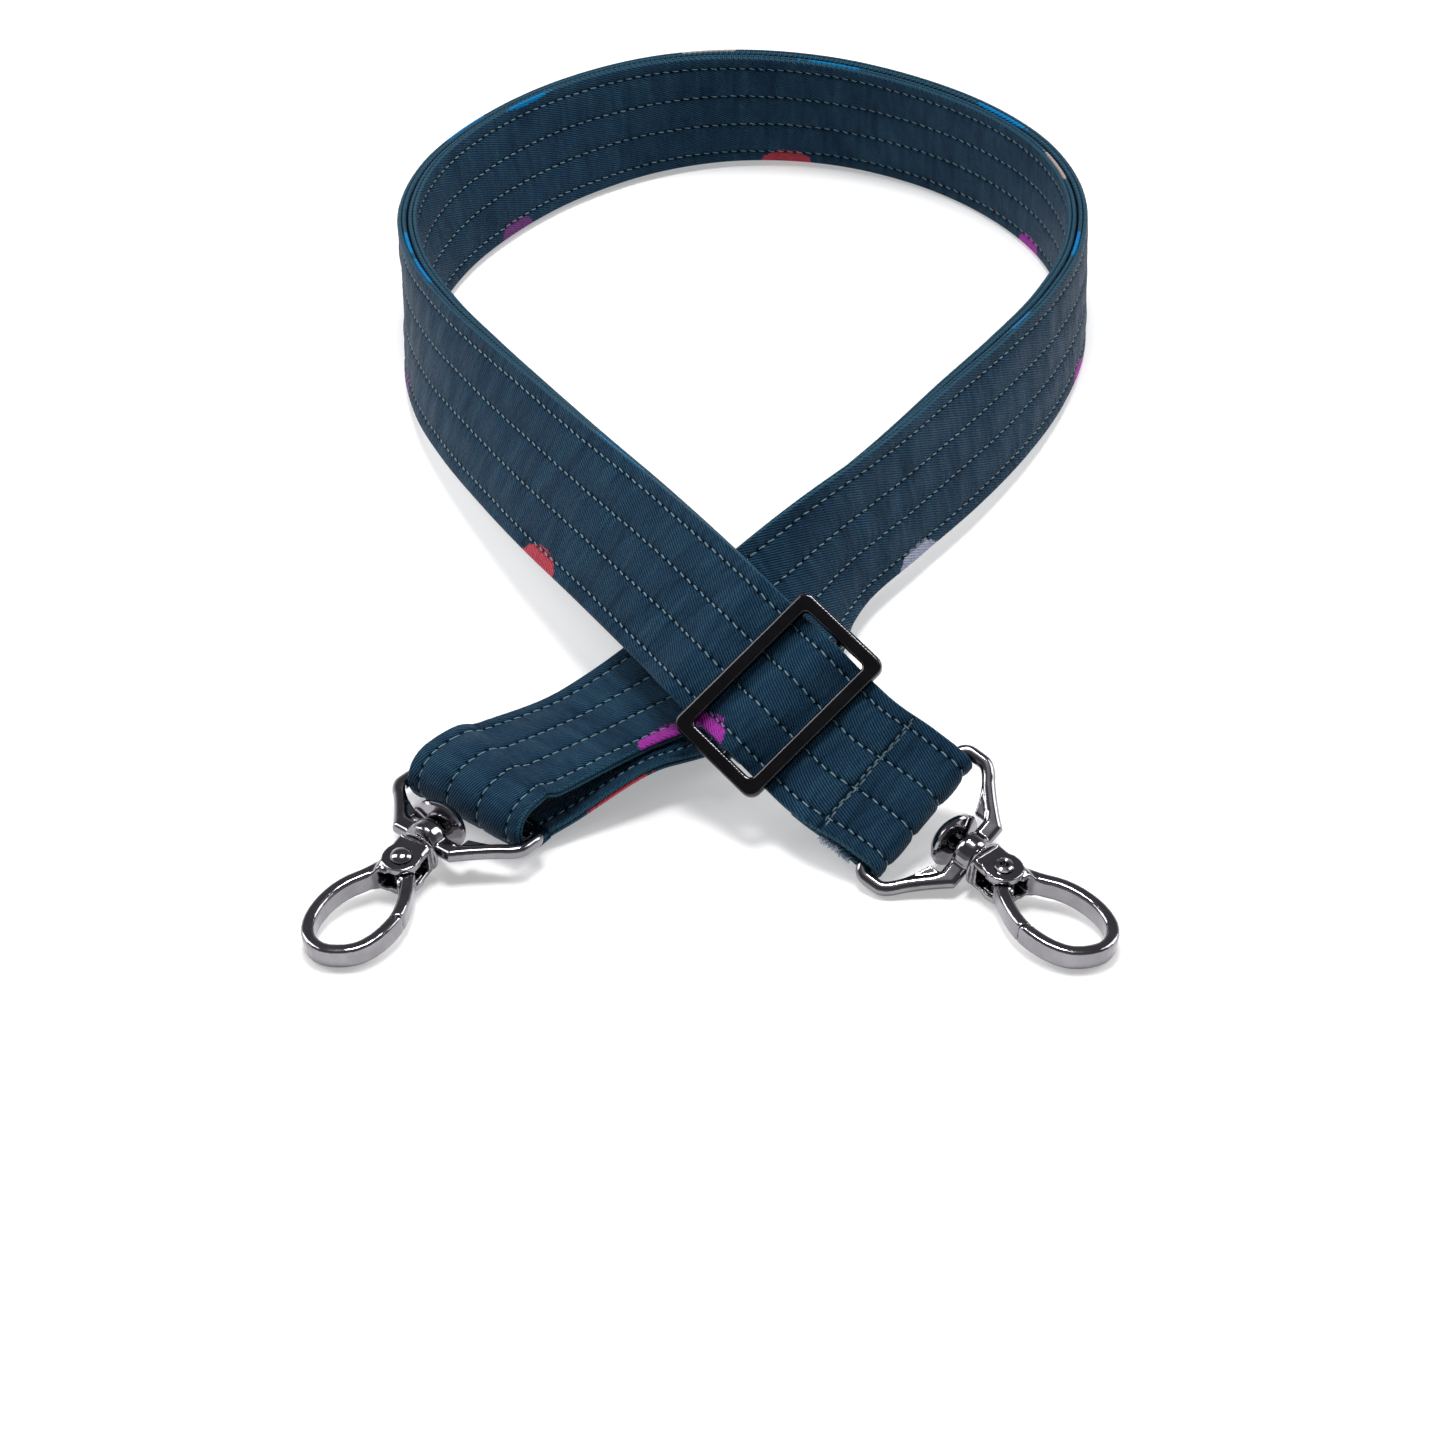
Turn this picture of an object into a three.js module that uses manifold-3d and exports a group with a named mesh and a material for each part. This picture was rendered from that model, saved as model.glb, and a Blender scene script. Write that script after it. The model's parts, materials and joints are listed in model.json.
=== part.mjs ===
// Detachable bag strap: a sewn two-ply fabric strap, doubled back on itself through a
// three-bar slider, with a trapezoid ring and a swivel snap hook at each end.
// Millimetres, +Z up. The strap stands on its edge on the surface z = 0, hooks towards -Y.

import * as THREE from "three";
import { mergeVertices } from "three/addons/utils/BufferGeometryUtils.js";
import Module from "manifold-3d";

const wasm = await Module();
wasm.setup();

// Driving sizes.

// Play left between neighbouring pieces.
const clearance = 0.3;
// The shortest step before the end of a run, as a share of a full one.
const endStepShare = 0.3;
// How far a cutting tool runs past the face it cuts.
const overrun = 2;

// Strap
const strapWidth = 38;
const plyThickness = 1.15;
const seamGap = 0.3;
const edgeRoll = 0.45;
const tailLength = 21;
const tailSpread = 0.4;
const leftLoopRadius = 6.4;
const leftBarSlack = 1.1;
const leftBarDrop = 2;
const loopCloseLength = 44;
const innerSlip = 6;
const innerSpread = 1;
const runSpread = 0.3;
const slipStart = 55;
const slipLength = 150;
const barWrapTailLength = 22;
// Steps along the strap: the longest one, and the twist that one step may hold.
const strapStep = 10;
const stepTwistAngle = 3;
const bendStepAngle = 22.5;

// The plan of the laid-out strap, and the height the crossing bridge rises to.
const loopWidth = 200;
const loopDepth = 320;
const bridgeRise = 20;

// Slider
const sliderBarWidth = 4;
const sliderThickness = 3;
const sliderSpan = 29.4;
const sliderSideClearance = 1;
const sliderCornerRadius = 3;
const sliderWindowRadius = 1.2;
const sliderBevel = 0.6;
const centreBarRadius = 1.5;
const centreBarLegSink = 0.9;
const strapRampAngle = 35;
const strapDwell = 2.2;
const strapUnderBarRadius = 4.6;
const sliderDistance = 43.6;
const gripLength = 18;

// Ring
const ringWire = 3.5;
const ringSideClearance = 0.45;
const ringRoundness = 1.35;
const ringArmReach = 6.2;
const ringInnerCorner = 1;
const ringCornerRadius = 4.4;
const ringBaseWidth = 19.4;
const ringBaseReach = 21.2;
const ringBaseDepth = 5.2;
const ringBossRadius = 5.2;
const ringBossWaist = 4.7;
const ringWebThickness = 1.9;
const ringWebDrop = 2.9;

// Swivel post: mushroom head inside the ring, shank through its base, riveted end in the hook
const headRadius = 7.5;
const headDome = 3.6;
const headRim = 1.1;
const shankRadius = 1.6;
const swivelPlay = 15;
const postSeatRadius = 2.7;
const postEndRadius = 2.5;
const postEndHeight = 0.7;

// Hook body
const collarRadius = 6.2;
const collarThickness = 0.6;
const collarCone = 0.9;
const neckWidth = 9.6;
const neckThickness = 8.8;
const neckLength = 9.2;
const neckWall = 1.6;
const neckChamfer = 0.8;
const neckTaperLength = 6.5;
const eyeLength = 31.5;
const eyeWidth = 22.8;
const eyeOffset = 1.1;
const eyeThickness = 6;
const eyeBand = 3.3;
const eyeBevel = 0.9;
const pivotReach = 6.1;
const pivotBossRadius = 5;
const slotHeight = 4.8;
const slotWall = 1.4;
const slotReach = 12.5;

// Gate, its pin and its spring
const gateRootThickness = 4.2;
const gateRootRadius = 3.1;
const gateCheek = 0.55;
const gateTailReach = 4.5;
const pinRadius = 1.3;
const domeRadius = 2.8;
const domeHeight = 1.2;
const rivetRadius = 2.5;
const rivetLip = 0.7;
const rivetDimpleRadius = 1.1;
const rivetDimpleDepth = 1.4;
const springWire = 0.5;
const springPitch = 1;
const springTurns = 2;
const springLeg = 3.7;

// Headings of the two hooks in plan, in degrees from +X.
const rightHeading = -49;
const leftHeading = -119;

// Derived sizes.

const strapThickness = 2 * plyThickness + seamGap;
const layerPitch = strapThickness + clearance;
const ringBarRadius = ringWire / 2;
const foldRadius = ringBarRadius + 2 * clearance + strapThickness / 2;
const ringInnerHalf = strapWidth / 2 + ringSideClearance;
const ringOuterHalf = ringInnerHalf + ringWire;
const ringBaseInner = ringBaseReach - ringBaseDepth;
const boreReach = ringBaseReach - ringBaseDepth / 2;

// The hook tips in the ring's bore about its middle, so the bore, the head's cone and the
// collar's cone leave room for that tip.
const playTan = Math.tan(THREE.MathUtils.degToRad(swivelPlay));
const playSin = Math.sin(THREE.MathUtils.degToRad(swivelPlay));
const playCos = Math.cos(THREE.MathUtils.degToRad(swivelPlay));
const boreRadius = (shankRadius + clearance) / playCos + (ringBaseDepth / 2) * playTan;
const baseStandoff = ringBaseDepth / 2 + clearance;
const boreFromHead = (baseStandoff + headRadius * playSin) / playCos;
const headCone = (headRadius - shankRadius) * playTan;
// Half the room that the tipped head takes between the ring's webs.
const ringRoomHalf = headRadius * playCos + boreFromHead * playSin + clearance;
const collarStart = boreFromHead + (baseStandoff + postSeatRadius * playSin) / playCos;
const neckStart = collarStart + collarCone + collarThickness;
const pinX = neckStart + pivotReach;
const eyeStart = neckStart + neckLength;
const eyeEnd = eyeStart + eyeLength;
const hookPitch = Math.atan((headRadius - eyeThickness / 2) / eyeEnd);
const headHeight = headRadius * Math.cos(hookPitch);

// Solids.

const rad = THREE.MathUtils.degToRad;
const vec = (x, y, z) => new THREE.Vector3(x, y, z);
const lerp = THREE.MathUtils.lerp;

function welded(geometry) {
  const bare = geometry.index ? geometry.toNonIndexed() : geometry.clone();
  for (const name of Object.keys(bare.attributes)) {
    if (name !== "position") bare.deleteAttribute(name);
  }
  return mergeVertices(bare, 1e-4);
}

function toSolid(geometry) {
  const clean = welded(geometry);
  return new wasm.Manifold(new wasm.Mesh({
    numProp: 3,
    vertProperties: Float32Array.from(clean.attributes.position.array),
    triVerts: Uint32Array.from(clean.index.array),
  }));
}

function toGeometry(solid) {
  const mesh = solid.getMesh();
  const positions = [];
  for (const index of mesh.triVerts) {
    for (let axis = 0; axis < 3; axis += 1) {
      positions.push(mesh.vertProperties[index * mesh.numProp + axis]);
    }
  }
  const geometry = new THREE.BufferGeometry();
  geometry.setAttribute("position", new THREE.Float32BufferAttribute(positions, 3));
  return geometry;
}

const metal = (color, roughness) => new THREE.MeshStandardMaterial({ color, roughness, metalness: 1 });
const fabric = (color) => new THREE.MeshStandardMaterial({ color, roughness: 0.9, metalness: 0 });

function piece(name, geometry, material) {
  geometry.computeVertexNormals();
  const mesh = new THREE.Mesh(geometry, material);
  mesh.name = name;
  return mesh;
}

// The corner points of a path, each only once.
function cornerPoints(path, divisions) {
  const points = path.getPoints(divisions);
  return points.filter((point, i) => point.distanceTo(points[(i + 1) % points.length]) > 1e-3);
}

// A flat outline given thickness along Z, centred on z = 0, with rounded edges kept inside it.
function plate(outline, thickness, bevel, bevelSegments, divisions) {
  const shape = new THREE.Shape(cornerPoints(outline, divisions));
  shape.holes = (outline.holes || []).map((hole) => new THREE.Path(cornerPoints(hole, divisions)));
  const geometry = new THREE.ExtrudeGeometry(shape, {
    depth: thickness - 2 * bevel,
    bevelEnabled: bevel > 0,
    bevelThickness: bevel,
    bevelSize: bevel,
    bevelOffset: -bevel,
    bevelSegments,
    steps: 1,
  });
  return geometry.translate(0, 0, bevel - thickness / 2);
}

// A rectangle with rounded corners, as a path centred on the origin.
function roundedRectangle(target, width, height, radius) {
  const right = width / 2;
  const top = height / 2;
  target.moveTo(radius - right, -top);
  target.lineTo(right - radius, -top);
  target.absarc(right - radius, radius - top, radius, -Math.PI / 2, 0, false);
  target.lineTo(right, top - radius);
  target.absarc(right - radius, top - radius, radius, 0, Math.PI / 2, false);
  target.lineTo(radius - right, top);
  target.absarc(radius - right, top - radius, radius, Math.PI / 2, Math.PI, false);
  target.lineTo(-right, radius - top);
  target.absarc(radius - right, radius - top, radius, Math.PI, 1.5 * Math.PI, false);
  return target;
}

function polygonShape(points) {
  return new THREE.Shape(points.map(([x, y]) => new THREE.Vector2(x, y)));
}

// A profile of [radius, distance] pairs turned about X.
function turnedAboutX(profile, segments) {
  const points = profile.map(([radius, along]) => new THREE.Vector2(radius, along));
  return new THREE.LatheGeometry(points, segments).rotateZ(-Math.PI / 2);
}

// The same, about Z.
function turnedAboutZ(profile, segments) {
  const points = profile.map(([radius, along]) => new THREE.Vector2(radius, along));
  return new THREE.LatheGeometry(points, segments).rotateX(Math.PI / 2);
}

function cylinderAlongZ(radius, length, segments) {
  return new THREE.CylinderGeometry(radius, radius, length, segments).rotateX(Math.PI / 2);
}

// The strap's route.

// The middle of the outer run, from the right ring to the left ring: across and back as shares
// of loopWidth and loopDepth, the lower edge's height as a share of bridgeRise, and the lean of
// the strap's width from upright in degrees.
const routeShares = [
  [0.235, -0.1575, 0.358, -66],
  [0.128, -0.11, 0.71, -60],
  [0.029, -0.05, 1.07, -55],
  [-0.055, 0.021, 1.15, -50],
  [-0.138, 0.102, 1.02, -43],
  [-0.218, 0.181, 0.86, -37],
  [-0.288, 0.257, 0.68, -31],
  [-0.356, 0.336, 0.49, -24],
  [-0.415, 0.417, 0.29, -15],
  [-0.455, 0.504, 0.13, -4],
  [-0.461, 0.593, 0.055, 6],
  [-0.423, 0.682, 0.03, 12],
  [-0.344, 0.76, 0.03, 13],
  [-0.243, 0.82, 0.045, 10],
  [-0.114, 0.864, 0.07, 4],
  [0.022, 0.882, 0.085, -2],
  [0.17, 0.873, 0.08, -6],
  [0.306, 0.837, 0.06, -7],
  [0.418, 0.78, 0.045, -5],
  [0.497, 0.707, 0.04, -3],
  [0.532, 0.622, 0.04, -2],
  [0.522, 0.53, 0.05, -4],
  [0.475, 0.443, 0.1, -8],
  [0.408, 0.363, 0.17, -13],
  [0.33, 0.287, 0.22, -16],
  [0.246, 0.212, 0.25, -15],
  [0.159, 0.142, 0.27, -20],
  [0.072, 0.07, 0.38, -49],
  [-0.03, 0.013, 0.61, -82],
  [-0.15, -0.042, 0.8, -99],
  [-0.25, -0.091, 0.81, -96],
  [-0.284, -0.108, 0.81, -94],
  [-0.304, -0.1225, 0.79, -93],
];

const routePoints = routeShares.map(([acrossShare, backShare, edgeShare, lean]) => vec(
  acrossShare * loopWidth,
  backShare * loopDepth,
  edgeShare * bridgeRise + (strapWidth / 2) * Math.cos(rad(lean)),
));
const routeLeans = routeShares.map(([, , , lean]) => vec(rad(lean), 0, 0));
const routeCurve = new THREE.CatmullRomCurve3(routePoints, false, "centripetal");
const leanCurve = new THREE.CatmullRomCurve3(routeLeans, false, "catmullrom", 0.5);

// Frames along the route at even steps: middle, direction, width direction and outer normal.
function leanedFrame(point, direction, lean) {
  const upright = vec(0, 0, 1).addScaledVector(direction, -direction.z).normalize();
  const sideways = upright.clone().cross(direction);
  const width = upright.multiplyScalar(Math.cos(lean)).addScaledVector(sideways, Math.sin(lean));
  return { point, direction, width, normal: width.clone().cross(direction) };
}

const routeSamples = 720;
const routeFrames = [];
for (let i = 0; i <= routeSamples; i += 1) {
  const t = i / routeSamples;
  const direction = routeCurve.getTangent(t).normalize();
  routeFrames.push(leanedFrame(routeCurve.getPoint(t), direction, leanCurve.getPoint(t).x));
}
routeFrames[0].along = 0;
for (let i = 1; i <= routeSamples; i += 1) {
  const step = routeFrames[i].point.distanceTo(routeFrames[i - 1].point);
  routeFrames[i].along = routeFrames[i - 1].along + step;
}
const routeLength = routeFrames[routeSamples].along;

// The distances along the route where both runs have a station, so that they stay parallel:
// even steps, closer together where the strap twists.
const stationAlongs = [0];
let stepShare = 0;
for (let i = 1; i <= routeSamples; i += 1) {
  const [before, here] = [routeFrames[i - 1], routeFrames[i]];
  const twist = here.width.clone().cross(before.width).dot(here.direction);
  stepShare += Math.hypot((here.along - before.along) / strapStep, twist / rad(stepTwistAngle));
  if (stepShare >= 1) {
    stationAlongs.push(here.along);
    stepShare -= 1;
  }
}

// The frame at a distance along the route, carried straight on past either end.
function frameAt(along) {
  const first = routeFrames[0];
  const last = routeFrames[routeSamples];
  if (along <= 0 || along >= routeLength) {
    const end = along <= 0 ? first : last;
    const past = along - end.along;
    return { ...end, point: end.point.clone().addScaledVector(end.direction, past) };
  }
  let low = 0;
  let high = routeSamples;
  while (high - low > 1) {
    const middle = (low + high) >> 1;
    if (routeFrames[middle].along <= along) low = middle;
    else high = middle;
  }
  const a = routeFrames[low];
  const b = routeFrames[high];
  const share = (along - a.along) / (b.along - a.along);
  return {
    point: a.point.clone().lerp(b.point, share),
    direction: a.direction.clone().lerp(b.direction, share).normalize(),
    width: a.width.clone().lerp(b.width, share).normalize(),
    normal: a.normal.clone().lerp(b.normal, share).normalize(),
  };
}

// The slider holds the strap straight and flat where it grips it.
function seatedFrameAt(along) {
  const free = frameAt(along);
  const seat = frameAt(sliderDistance);
  const past = along - sliderDistance;
  const hold = 1 - THREE.MathUtils.smoothstep(Math.abs(past), gripLength, 2 * gripLength);
  const straight = seat.point.clone().addScaledVector(seat.direction, past);
  return {
    point: free.point.clone().lerp(straight, hold),
    direction: free.direction.clone().lerp(seat.direction, hold).normalize(),
    width: free.width.clone().lerp(seat.width, hold).normalize(),
    normal: free.normal.clone().lerp(seat.normal, hold).normalize(),
  };
}

// The strap's layers.

// A layer path is a list of [along, height, slip]: the distance along the route, the height of
// the strap's middle over the outer run, and how far it has slipped towards its upper edge.

function bend(centreAlong, centreHeight, radius, fromAngle, toAngle) {
  const steps = Math.ceil(Math.abs(toAngle - fromAngle) / bendStepAngle);
  const points = [];
  for (let i = 0; i <= steps; i += 1) {
    const angle = rad(lerp(fromAngle, toAngle, i / steps));
    points.push([centreAlong + radius * Math.cos(angle), centreHeight + radius * Math.sin(angle)]);
  }
  return points;
}

// The hump of a strap layer that passes over the slider's centre bar and under both long bars.
// radius is the layer's bend over the centre bar.
const humpRadius = centreBarRadius + clearance + strapThickness / 2 + layerPitch;
const longBarAlong = (sliderSpan - sliderBarWidth) / 2;
const dwellAlong = longBarAlong - sliderBarWidth / 2 - strapDwell / 2;
const rampTan = Math.tan(rad(strapRampAngle));
const rampSin = Math.sin(rad(strapRampAngle));
const rampCos = Math.cos(rad(strapRampAngle));
const humpDrop = humpRadius * (1 - rampCos)
  + (dwellAlong - (humpRadius + strapUnderBarRadius) * rampSin) * rampTan
  + strapUnderBarRadius * (1 - rampCos);
const underBarHeight = -humpDrop * 0.32;
const centreBarHeight = underBarHeight + humpDrop - humpRadius;
const sliderHeight = underBarHeight + strapThickness / 2 + clearance + sliderThickness / 2;

// depth is how far the layer lies under the passing strap.
function humpSide(depth, side) {
  const points = [];
  for (const [x, z] of bend(0, centreBarHeight, humpRadius - depth, 90, 90 - strapRampAngle)) {
    points.push([x, z]);
  }
  const underRadius = strapUnderBarRadius + depth;
  const centre = underBarHeight + strapUnderBarRadius;
  const low = bend(dwellAlong, centre, underRadius, -90 - strapRampAngle, -90);
  points.push(...low);
  points.push([longBarAlong + sliderBarWidth / 2, underBarHeight - depth]);
  return points.map(([x, z]) => [sliderDistance + side * x, z]);
}

const sliderFootAlong = longBarAlong + sliderBarWidth / 2 + tailLength / 2;

// The stations from one distance to another, none closer to the ends than a share of a step.
function evenRun(fromAlong, toAlong, height) {
  const low = Math.min(fromAlong, toAlong) + endStepShare * strapStep;
  const high = Math.max(fromAlong, toAlong) - endStepShare * strapStep;
  const between = stationAlongs.filter((along) => along > low && along < high);
  if (toAlong < fromAlong) between.reverse();
  return [fromAlong, ...between, toAlong].map((along) => [along, height(along)]);
}

const smooth = (value) => THREE.MathUtils.smoothstep(value, 0, 1);

function strapPath() {
  const points = [];
  // The tail sewn back under the right fold.
  points.push([tailLength, -layerPitch - tailSpread]);
  points.push([0.7 * tailLength, -layerPitch - tailSpread - 0.1 * foldRadius]);
  points.push([0.35 * tailLength, lerp(-layerPitch, -2 * foldRadius, 0.6)]);
  points.push(...bend(0, -foldRadius, foldRadius, 270, 90));
  // The outer run, over the slider's centre bar.
  const beforeSlider = sliderDistance - sliderFootAlong;
  const afterSlider = sliderDistance + sliderFootAlong;
  points.push(...evenRun(0, beforeSlider, () => 0).slice(1));
  points.push(...humpSide(0, -1).reverse());
  points.push(...humpSide(0, 1).slice(1));
  points.push(...evenRun(afterSlider, routeLength, () => 0));
  // The loop round the left ring, and the inner run back to the slider.
  points.push(...bend(routeLength, -leftLoopRadius, leftLoopRadius, 90, -90).slice(1));
  const closing = (along) => {
    const share = smooth((routeLength - along) / loopCloseLength);
    return lerp(-2 * leftLoopRadius, -layerPitch - runSpread, share);
  };
  // Past the crossing the inner run still stands lower than the outer one, and a little off it.
  const looseShare = (along) => {
    const past = routeLength - along;
    return smooth(past / slipStart) * (1 - smooth((past - slipStart) / slipLength));
  };
  for (const [along, height] of evenRun(routeLength, afterSlider, closing).slice(1)) {
    const loose = looseShare(along);
    points.push([along, height - innerSpread * loose, -innerSlip * loose]);
  }
  // The sewn end round the centre bar.
  points.push(...humpSide(layerPitch, 1).reverse());
  const wrapRadius = humpRadius - layerPitch;
  points.push(...bend(sliderDistance, centreBarHeight, wrapRadius, 90, 270).slice(1));
  const tailHeight = underBarHeight - 2 * layerPitch;
  points.push([sliderDistance + dwellAlong, Math.min(tailHeight, centreBarHeight - wrapRadius)]);
  points.push([sliderDistance + longBarAlong + sliderBarWidth / 2, tailHeight]);
  points.push([sliderDistance + barWrapTailLength, tailHeight]);
  return points;
}

// The 3-D stations of the strap's middle, each with its width and outer normal, and the
// stretch that keeps a ply's thickness in a bend.
function strapStations() {
  const places = strapPath().map(([along, height, slip = 0]) => {
    const frame = seatedFrameAt(along);
    const point = frame.point.clone().addScaledVector(frame.normal, height);
    return { along, point: point.addScaledVector(frame.width, slip), width: frame.width };
  });
  return places.map((place, i) => {
    const before = i > 0 ? place.point.clone().sub(places[i - 1].point).normalize() : null;
    const after = i < places.length - 1 ? places[i + 1].point.clone().sub(place.point).normalize() : null;
    const direction = (before || after).clone().add(after || before).normalize();
    const stretch = before && after ? 1 / Math.max(0.5, direction.dot(after)) : 1;
    const onward = (after ? places[i + 1].along : place.along) >= (after ? place.along : places[i - 1].along);
    const normal = place.width.clone().cross(direction).normalize();
    return { point: place.point, width: place.width, normal, stretch, onward };
  });
}

// A closed solid swept through the stations from a section of [across, height] corners.
function sweptStrip(stations, section) {
  const positions = [];
  for (const { point, width, normal, stretch } of stations) {
    for (const [across, height] of section) {
      const corner = point.clone().addScaledVector(width, across).addScaledVector(normal, height * stretch);
      positions.push(corner.x, corner.y, corner.z);
    }
  }
  const count = section.length;
  const indices = [];
  for (let i = 0; i < stations.length - 1; i += 1) {
    for (let j = 0; j < count; j += 1) {
      const a = i * count + j;
      const b = i * count + ((j + 1) % count);
      // Every face that twists is parted along the same diagonal of the route, so that layers
      // which lie on each other never cross.
      const rising = section[(j + 1) % count][0] >= section[j][0];
      if (rising === stations[i].onward) indices.push(a, b, b + count, a, b + count, a + count);
      else indices.push(a, b, a + count, b, b + count, a + count);
    }
  }
  const last = (stations.length - 1) * count;
  for (let j = 1; j < count - 1; j += 1) {
    indices.push(0, j + 1, j, last, last + j, last + j + 1);
  }
  const geometry = new THREE.BufferGeometry();
  geometry.setAttribute("position", new THREE.Float32BufferAttribute(positions, 3));
  geometry.setIndex(indices);
  return facingOut(geometry);
}

function facingOut(geometry) {
  const position = geometry.attributes.position;
  const index = geometry.index.array;
  const [a, b, c] = [vec(0, 0, 0), vec(0, 0, 0), vec(0, 0, 0)];
  let volume = 0;
  for (let i = 0; i < index.length; i += 3) {
    a.fromBufferAttribute(position, index[i]);
    b.fromBufferAttribute(position, index[i + 1]);
    c.fromBufferAttribute(position, index[i + 2]);
    volume += a.dot(b.cross(c));
  }
  if (volume < 0) {
    for (let i = 0; i < index.length; i += 3) {
      [index[i + 1], index[i + 2]] = [index[i + 2], index[i + 1]];
    }
  }
  return geometry;
}

// One folded ply: flat on the seam side, its turned edges rolled on the other.
function plySection(side) {
  const inner = (side * seamGap) / 2;
  const outer = side * (seamGap / 2 + plyThickness);
  const half = strapWidth / 2;
  const roll = side * edgeRoll;
  return [
    [-half, inner], [half, inner], [half, outer - roll],
    [half - edgeRoll, outer], [edgeRoll - half, outer], [-half, outer - roll],
  ];
}

// Slider.

const sliderInnerLength = strapWidth + 2 * sliderSideClearance;
const sliderLength = sliderInnerLength + 2 * sliderBarWidth;
const legAcross = (sliderInnerLength + sliderBarWidth) / 2;
const centreBarDrop = sliderHeight - centreBarHeight;

function sliderFrameGeometry() {
  const shape = roundedRectangle(new THREE.Shape(), sliderLength, sliderSpan, sliderCornerRadius);
  const window = roundedRectangle(
    new THREE.Path(),
    sliderInnerLength,
    sliderSpan - 2 * sliderBarWidth,
    sliderWindowRadius,
  );
  shape.holes.push(window);
  let frame = toSolid(plate(shape, sliderThickness, sliderBevel, 2, 3));
  for (const side of [-1, 1]) {
    const seat = cylinderAlongZ(centreBarRadius + clearance, 2 * (centreBarLegSink + clearance), 16);
    seat.translate(side * legAcross, 0, -sliderThickness / 2);
    frame = frame.subtract(toSolid(seat));
  }
  return toGeometry(frame);
}

// The round centre bar hangs under the frame on its two upturned ends.
function centreBarGeometry() {
  const top = centreBarLegSink - sliderThickness / 2;
  const turn = centreBarRadius;
  const points = [];
  points.push(vec(-legAcross, 0, top));
  points.push(vec(-legAcross, 0, turn - centreBarDrop));
  points.push(vec(turn * (1 - Math.SQRT1_2) - legAcross, 0, turn * (1 - Math.SQRT1_2) - centreBarDrop));
  points.push(vec(turn - legAcross, 0, -centreBarDrop));
  const mirrored = points.map((p) => vec(-p.x, p.y, p.z)).reverse();
  return sweptTube([...points, ...mirrored], centreBarRadius, 12);
}

// A closed round tube through a list of points, its end faces square to its ends.
function sweptTube(points, radius, sides) {
  const positions = [];
  const normal = vec(0, 0, 0);
  points.forEach((point, i) => {
    const before = points[Math.max(i - 1, 0)];
    const after = points[Math.min(i + 1, points.length - 1)];
    const incoming = i > 0 ? point.clone().sub(before).normalize() : after.clone().sub(point).normalize();
    const outgoing = i < points.length - 1 ? after.clone().sub(point).normalize() : incoming;
    const direction = incoming.clone().add(outgoing).normalize();
    if (i === 0) {
      const guide = Math.abs(direction.y) < 0.9 ? vec(0, 1, 0) : vec(1, 0, 0);
      normal.copy(guide.addScaledVector(direction, -guide.dot(direction)).normalize());
    } else {
      normal.addScaledVector(direction, -normal.dot(direction)).normalize();
    }
    const side = direction.clone().cross(normal);
    for (let j = 0; j < sides; j += 1) {
      const angle = (2 * Math.PI * j) / sides;
      const spoke = normal.clone().multiplyScalar(Math.cos(angle)).addScaledVector(side, Math.sin(angle));
      const corner = point.clone().addScaledVector(spoke, radius);
      positions.push(corner.x, corner.y, corner.z);
    }
  });
  const indices = [];
  for (let i = 0; i < points.length - 1; i += 1) {
    for (let j = 0; j < sides; j += 1) {
      const a = i * sides + j;
      const b = i * sides + ((j + 1) % sides);
      indices.push(a, b, b + sides, a, b + sides, a + sides);
    }
  }
  const last = (points.length - 1) * sides;
  for (let j = 1; j < sides - 1; j += 1) {
    indices.push(0, j + 1, j, last, last + j, last + j + 1);
  }
  const geometry = new THREE.BufferGeometry();
  geometry.setAttribute("position", new THREE.Float32BufferAttribute(positions, 3));
  geometry.setIndex(indices);
  return facingOut(geometry);
}

// Ring.

// The bar lies along X at the origin, the base towards +Y with its bore along Y.

// The arm's outer edge from the bar's corner to the base: across as shares of what the half
// width loses, along as shares of the arm's length. Each pair but the first is a control and an end.
const ringArmShares = [[1, 0], [1, 0.19], [0.67, 0.39], [0.31, 0.67], [0, 1]];

function ringArmPoints() {
  const baseHalf = ringBaseWidth / 2;
  const [start, bend, middle, waist, end] = ringArmShares.map(([acrossShare, alongShare]) => vec(
    baseHalf + acrossShare * (ringOuterHalf - baseHalf),
    ringArmReach + alongShare * (ringBaseReach - ringArmReach),
    0,
  ));
  const corner = new THREE.QuadraticBezierCurve3(start, bend, middle).getPoints(5);
  return [...corner, ...new THREE.QuadraticBezierCurve3(middle, waist, end).getPoints(5).slice(1)];
}

// The same edge moved inward by the wire's width, up to the base.
function ringWindowPoints() {
  const outer = ringArmPoints();
  const points = [[ringInnerHalf, ringArmReach]];
  for (let i = 1; i < outer.length; i += 1) {
    const way = outer[Math.min(i + 1, outer.length - 1)].clone().sub(outer[i - 1]).normalize();
    const x = outer[i].x - way.y * ringWire;
    const y = outer[i].y + way.x * ringWire;
    if (y > ringBaseInner) break;
    if (y > ringArmReach) points.push([x, y]);
  }
  points.push([Math.max(points[points.length - 1][0] - ringWire / 2, ringRoomHalf), ringBaseInner]);
  return points;
}

// The thin web in the angle between an arm and the base, open in the middle for the head.
function ringWebGeometry(side) {
  const arm = ringArmPoints();
  const webReach = ringBaseInner - ringWebDrop;
  const tip = vec(ringInnerHalf + ringWire / 2, ringArmReach - ringWire / 2, 0);
  const hollow = vec(ringInnerHalf - ringWire / 4, lerp(ringArmReach, webReach, 0.5), 0);
  const inner = new THREE.QuadraticBezierCurve3(tip, hollow, vec(ringRoomHalf, webReach, 0)).getPoints(6);
  const outline = [
    ...inner.map((p) => [p.x, p.y]),
    [ringRoomHalf, ringBaseInner + ringWire / 2],
    ...arm.slice(1, -1).reverse().map((p) => [p.x - ringWire / 2, Math.min(p.y, ringBaseInner + ringWire / 2)]),
  ];
  return plate(polygonShape(outline.map(([x, y]) => [side * x, y])), ringWebThickness, 0, 1, 1);
}

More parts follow.
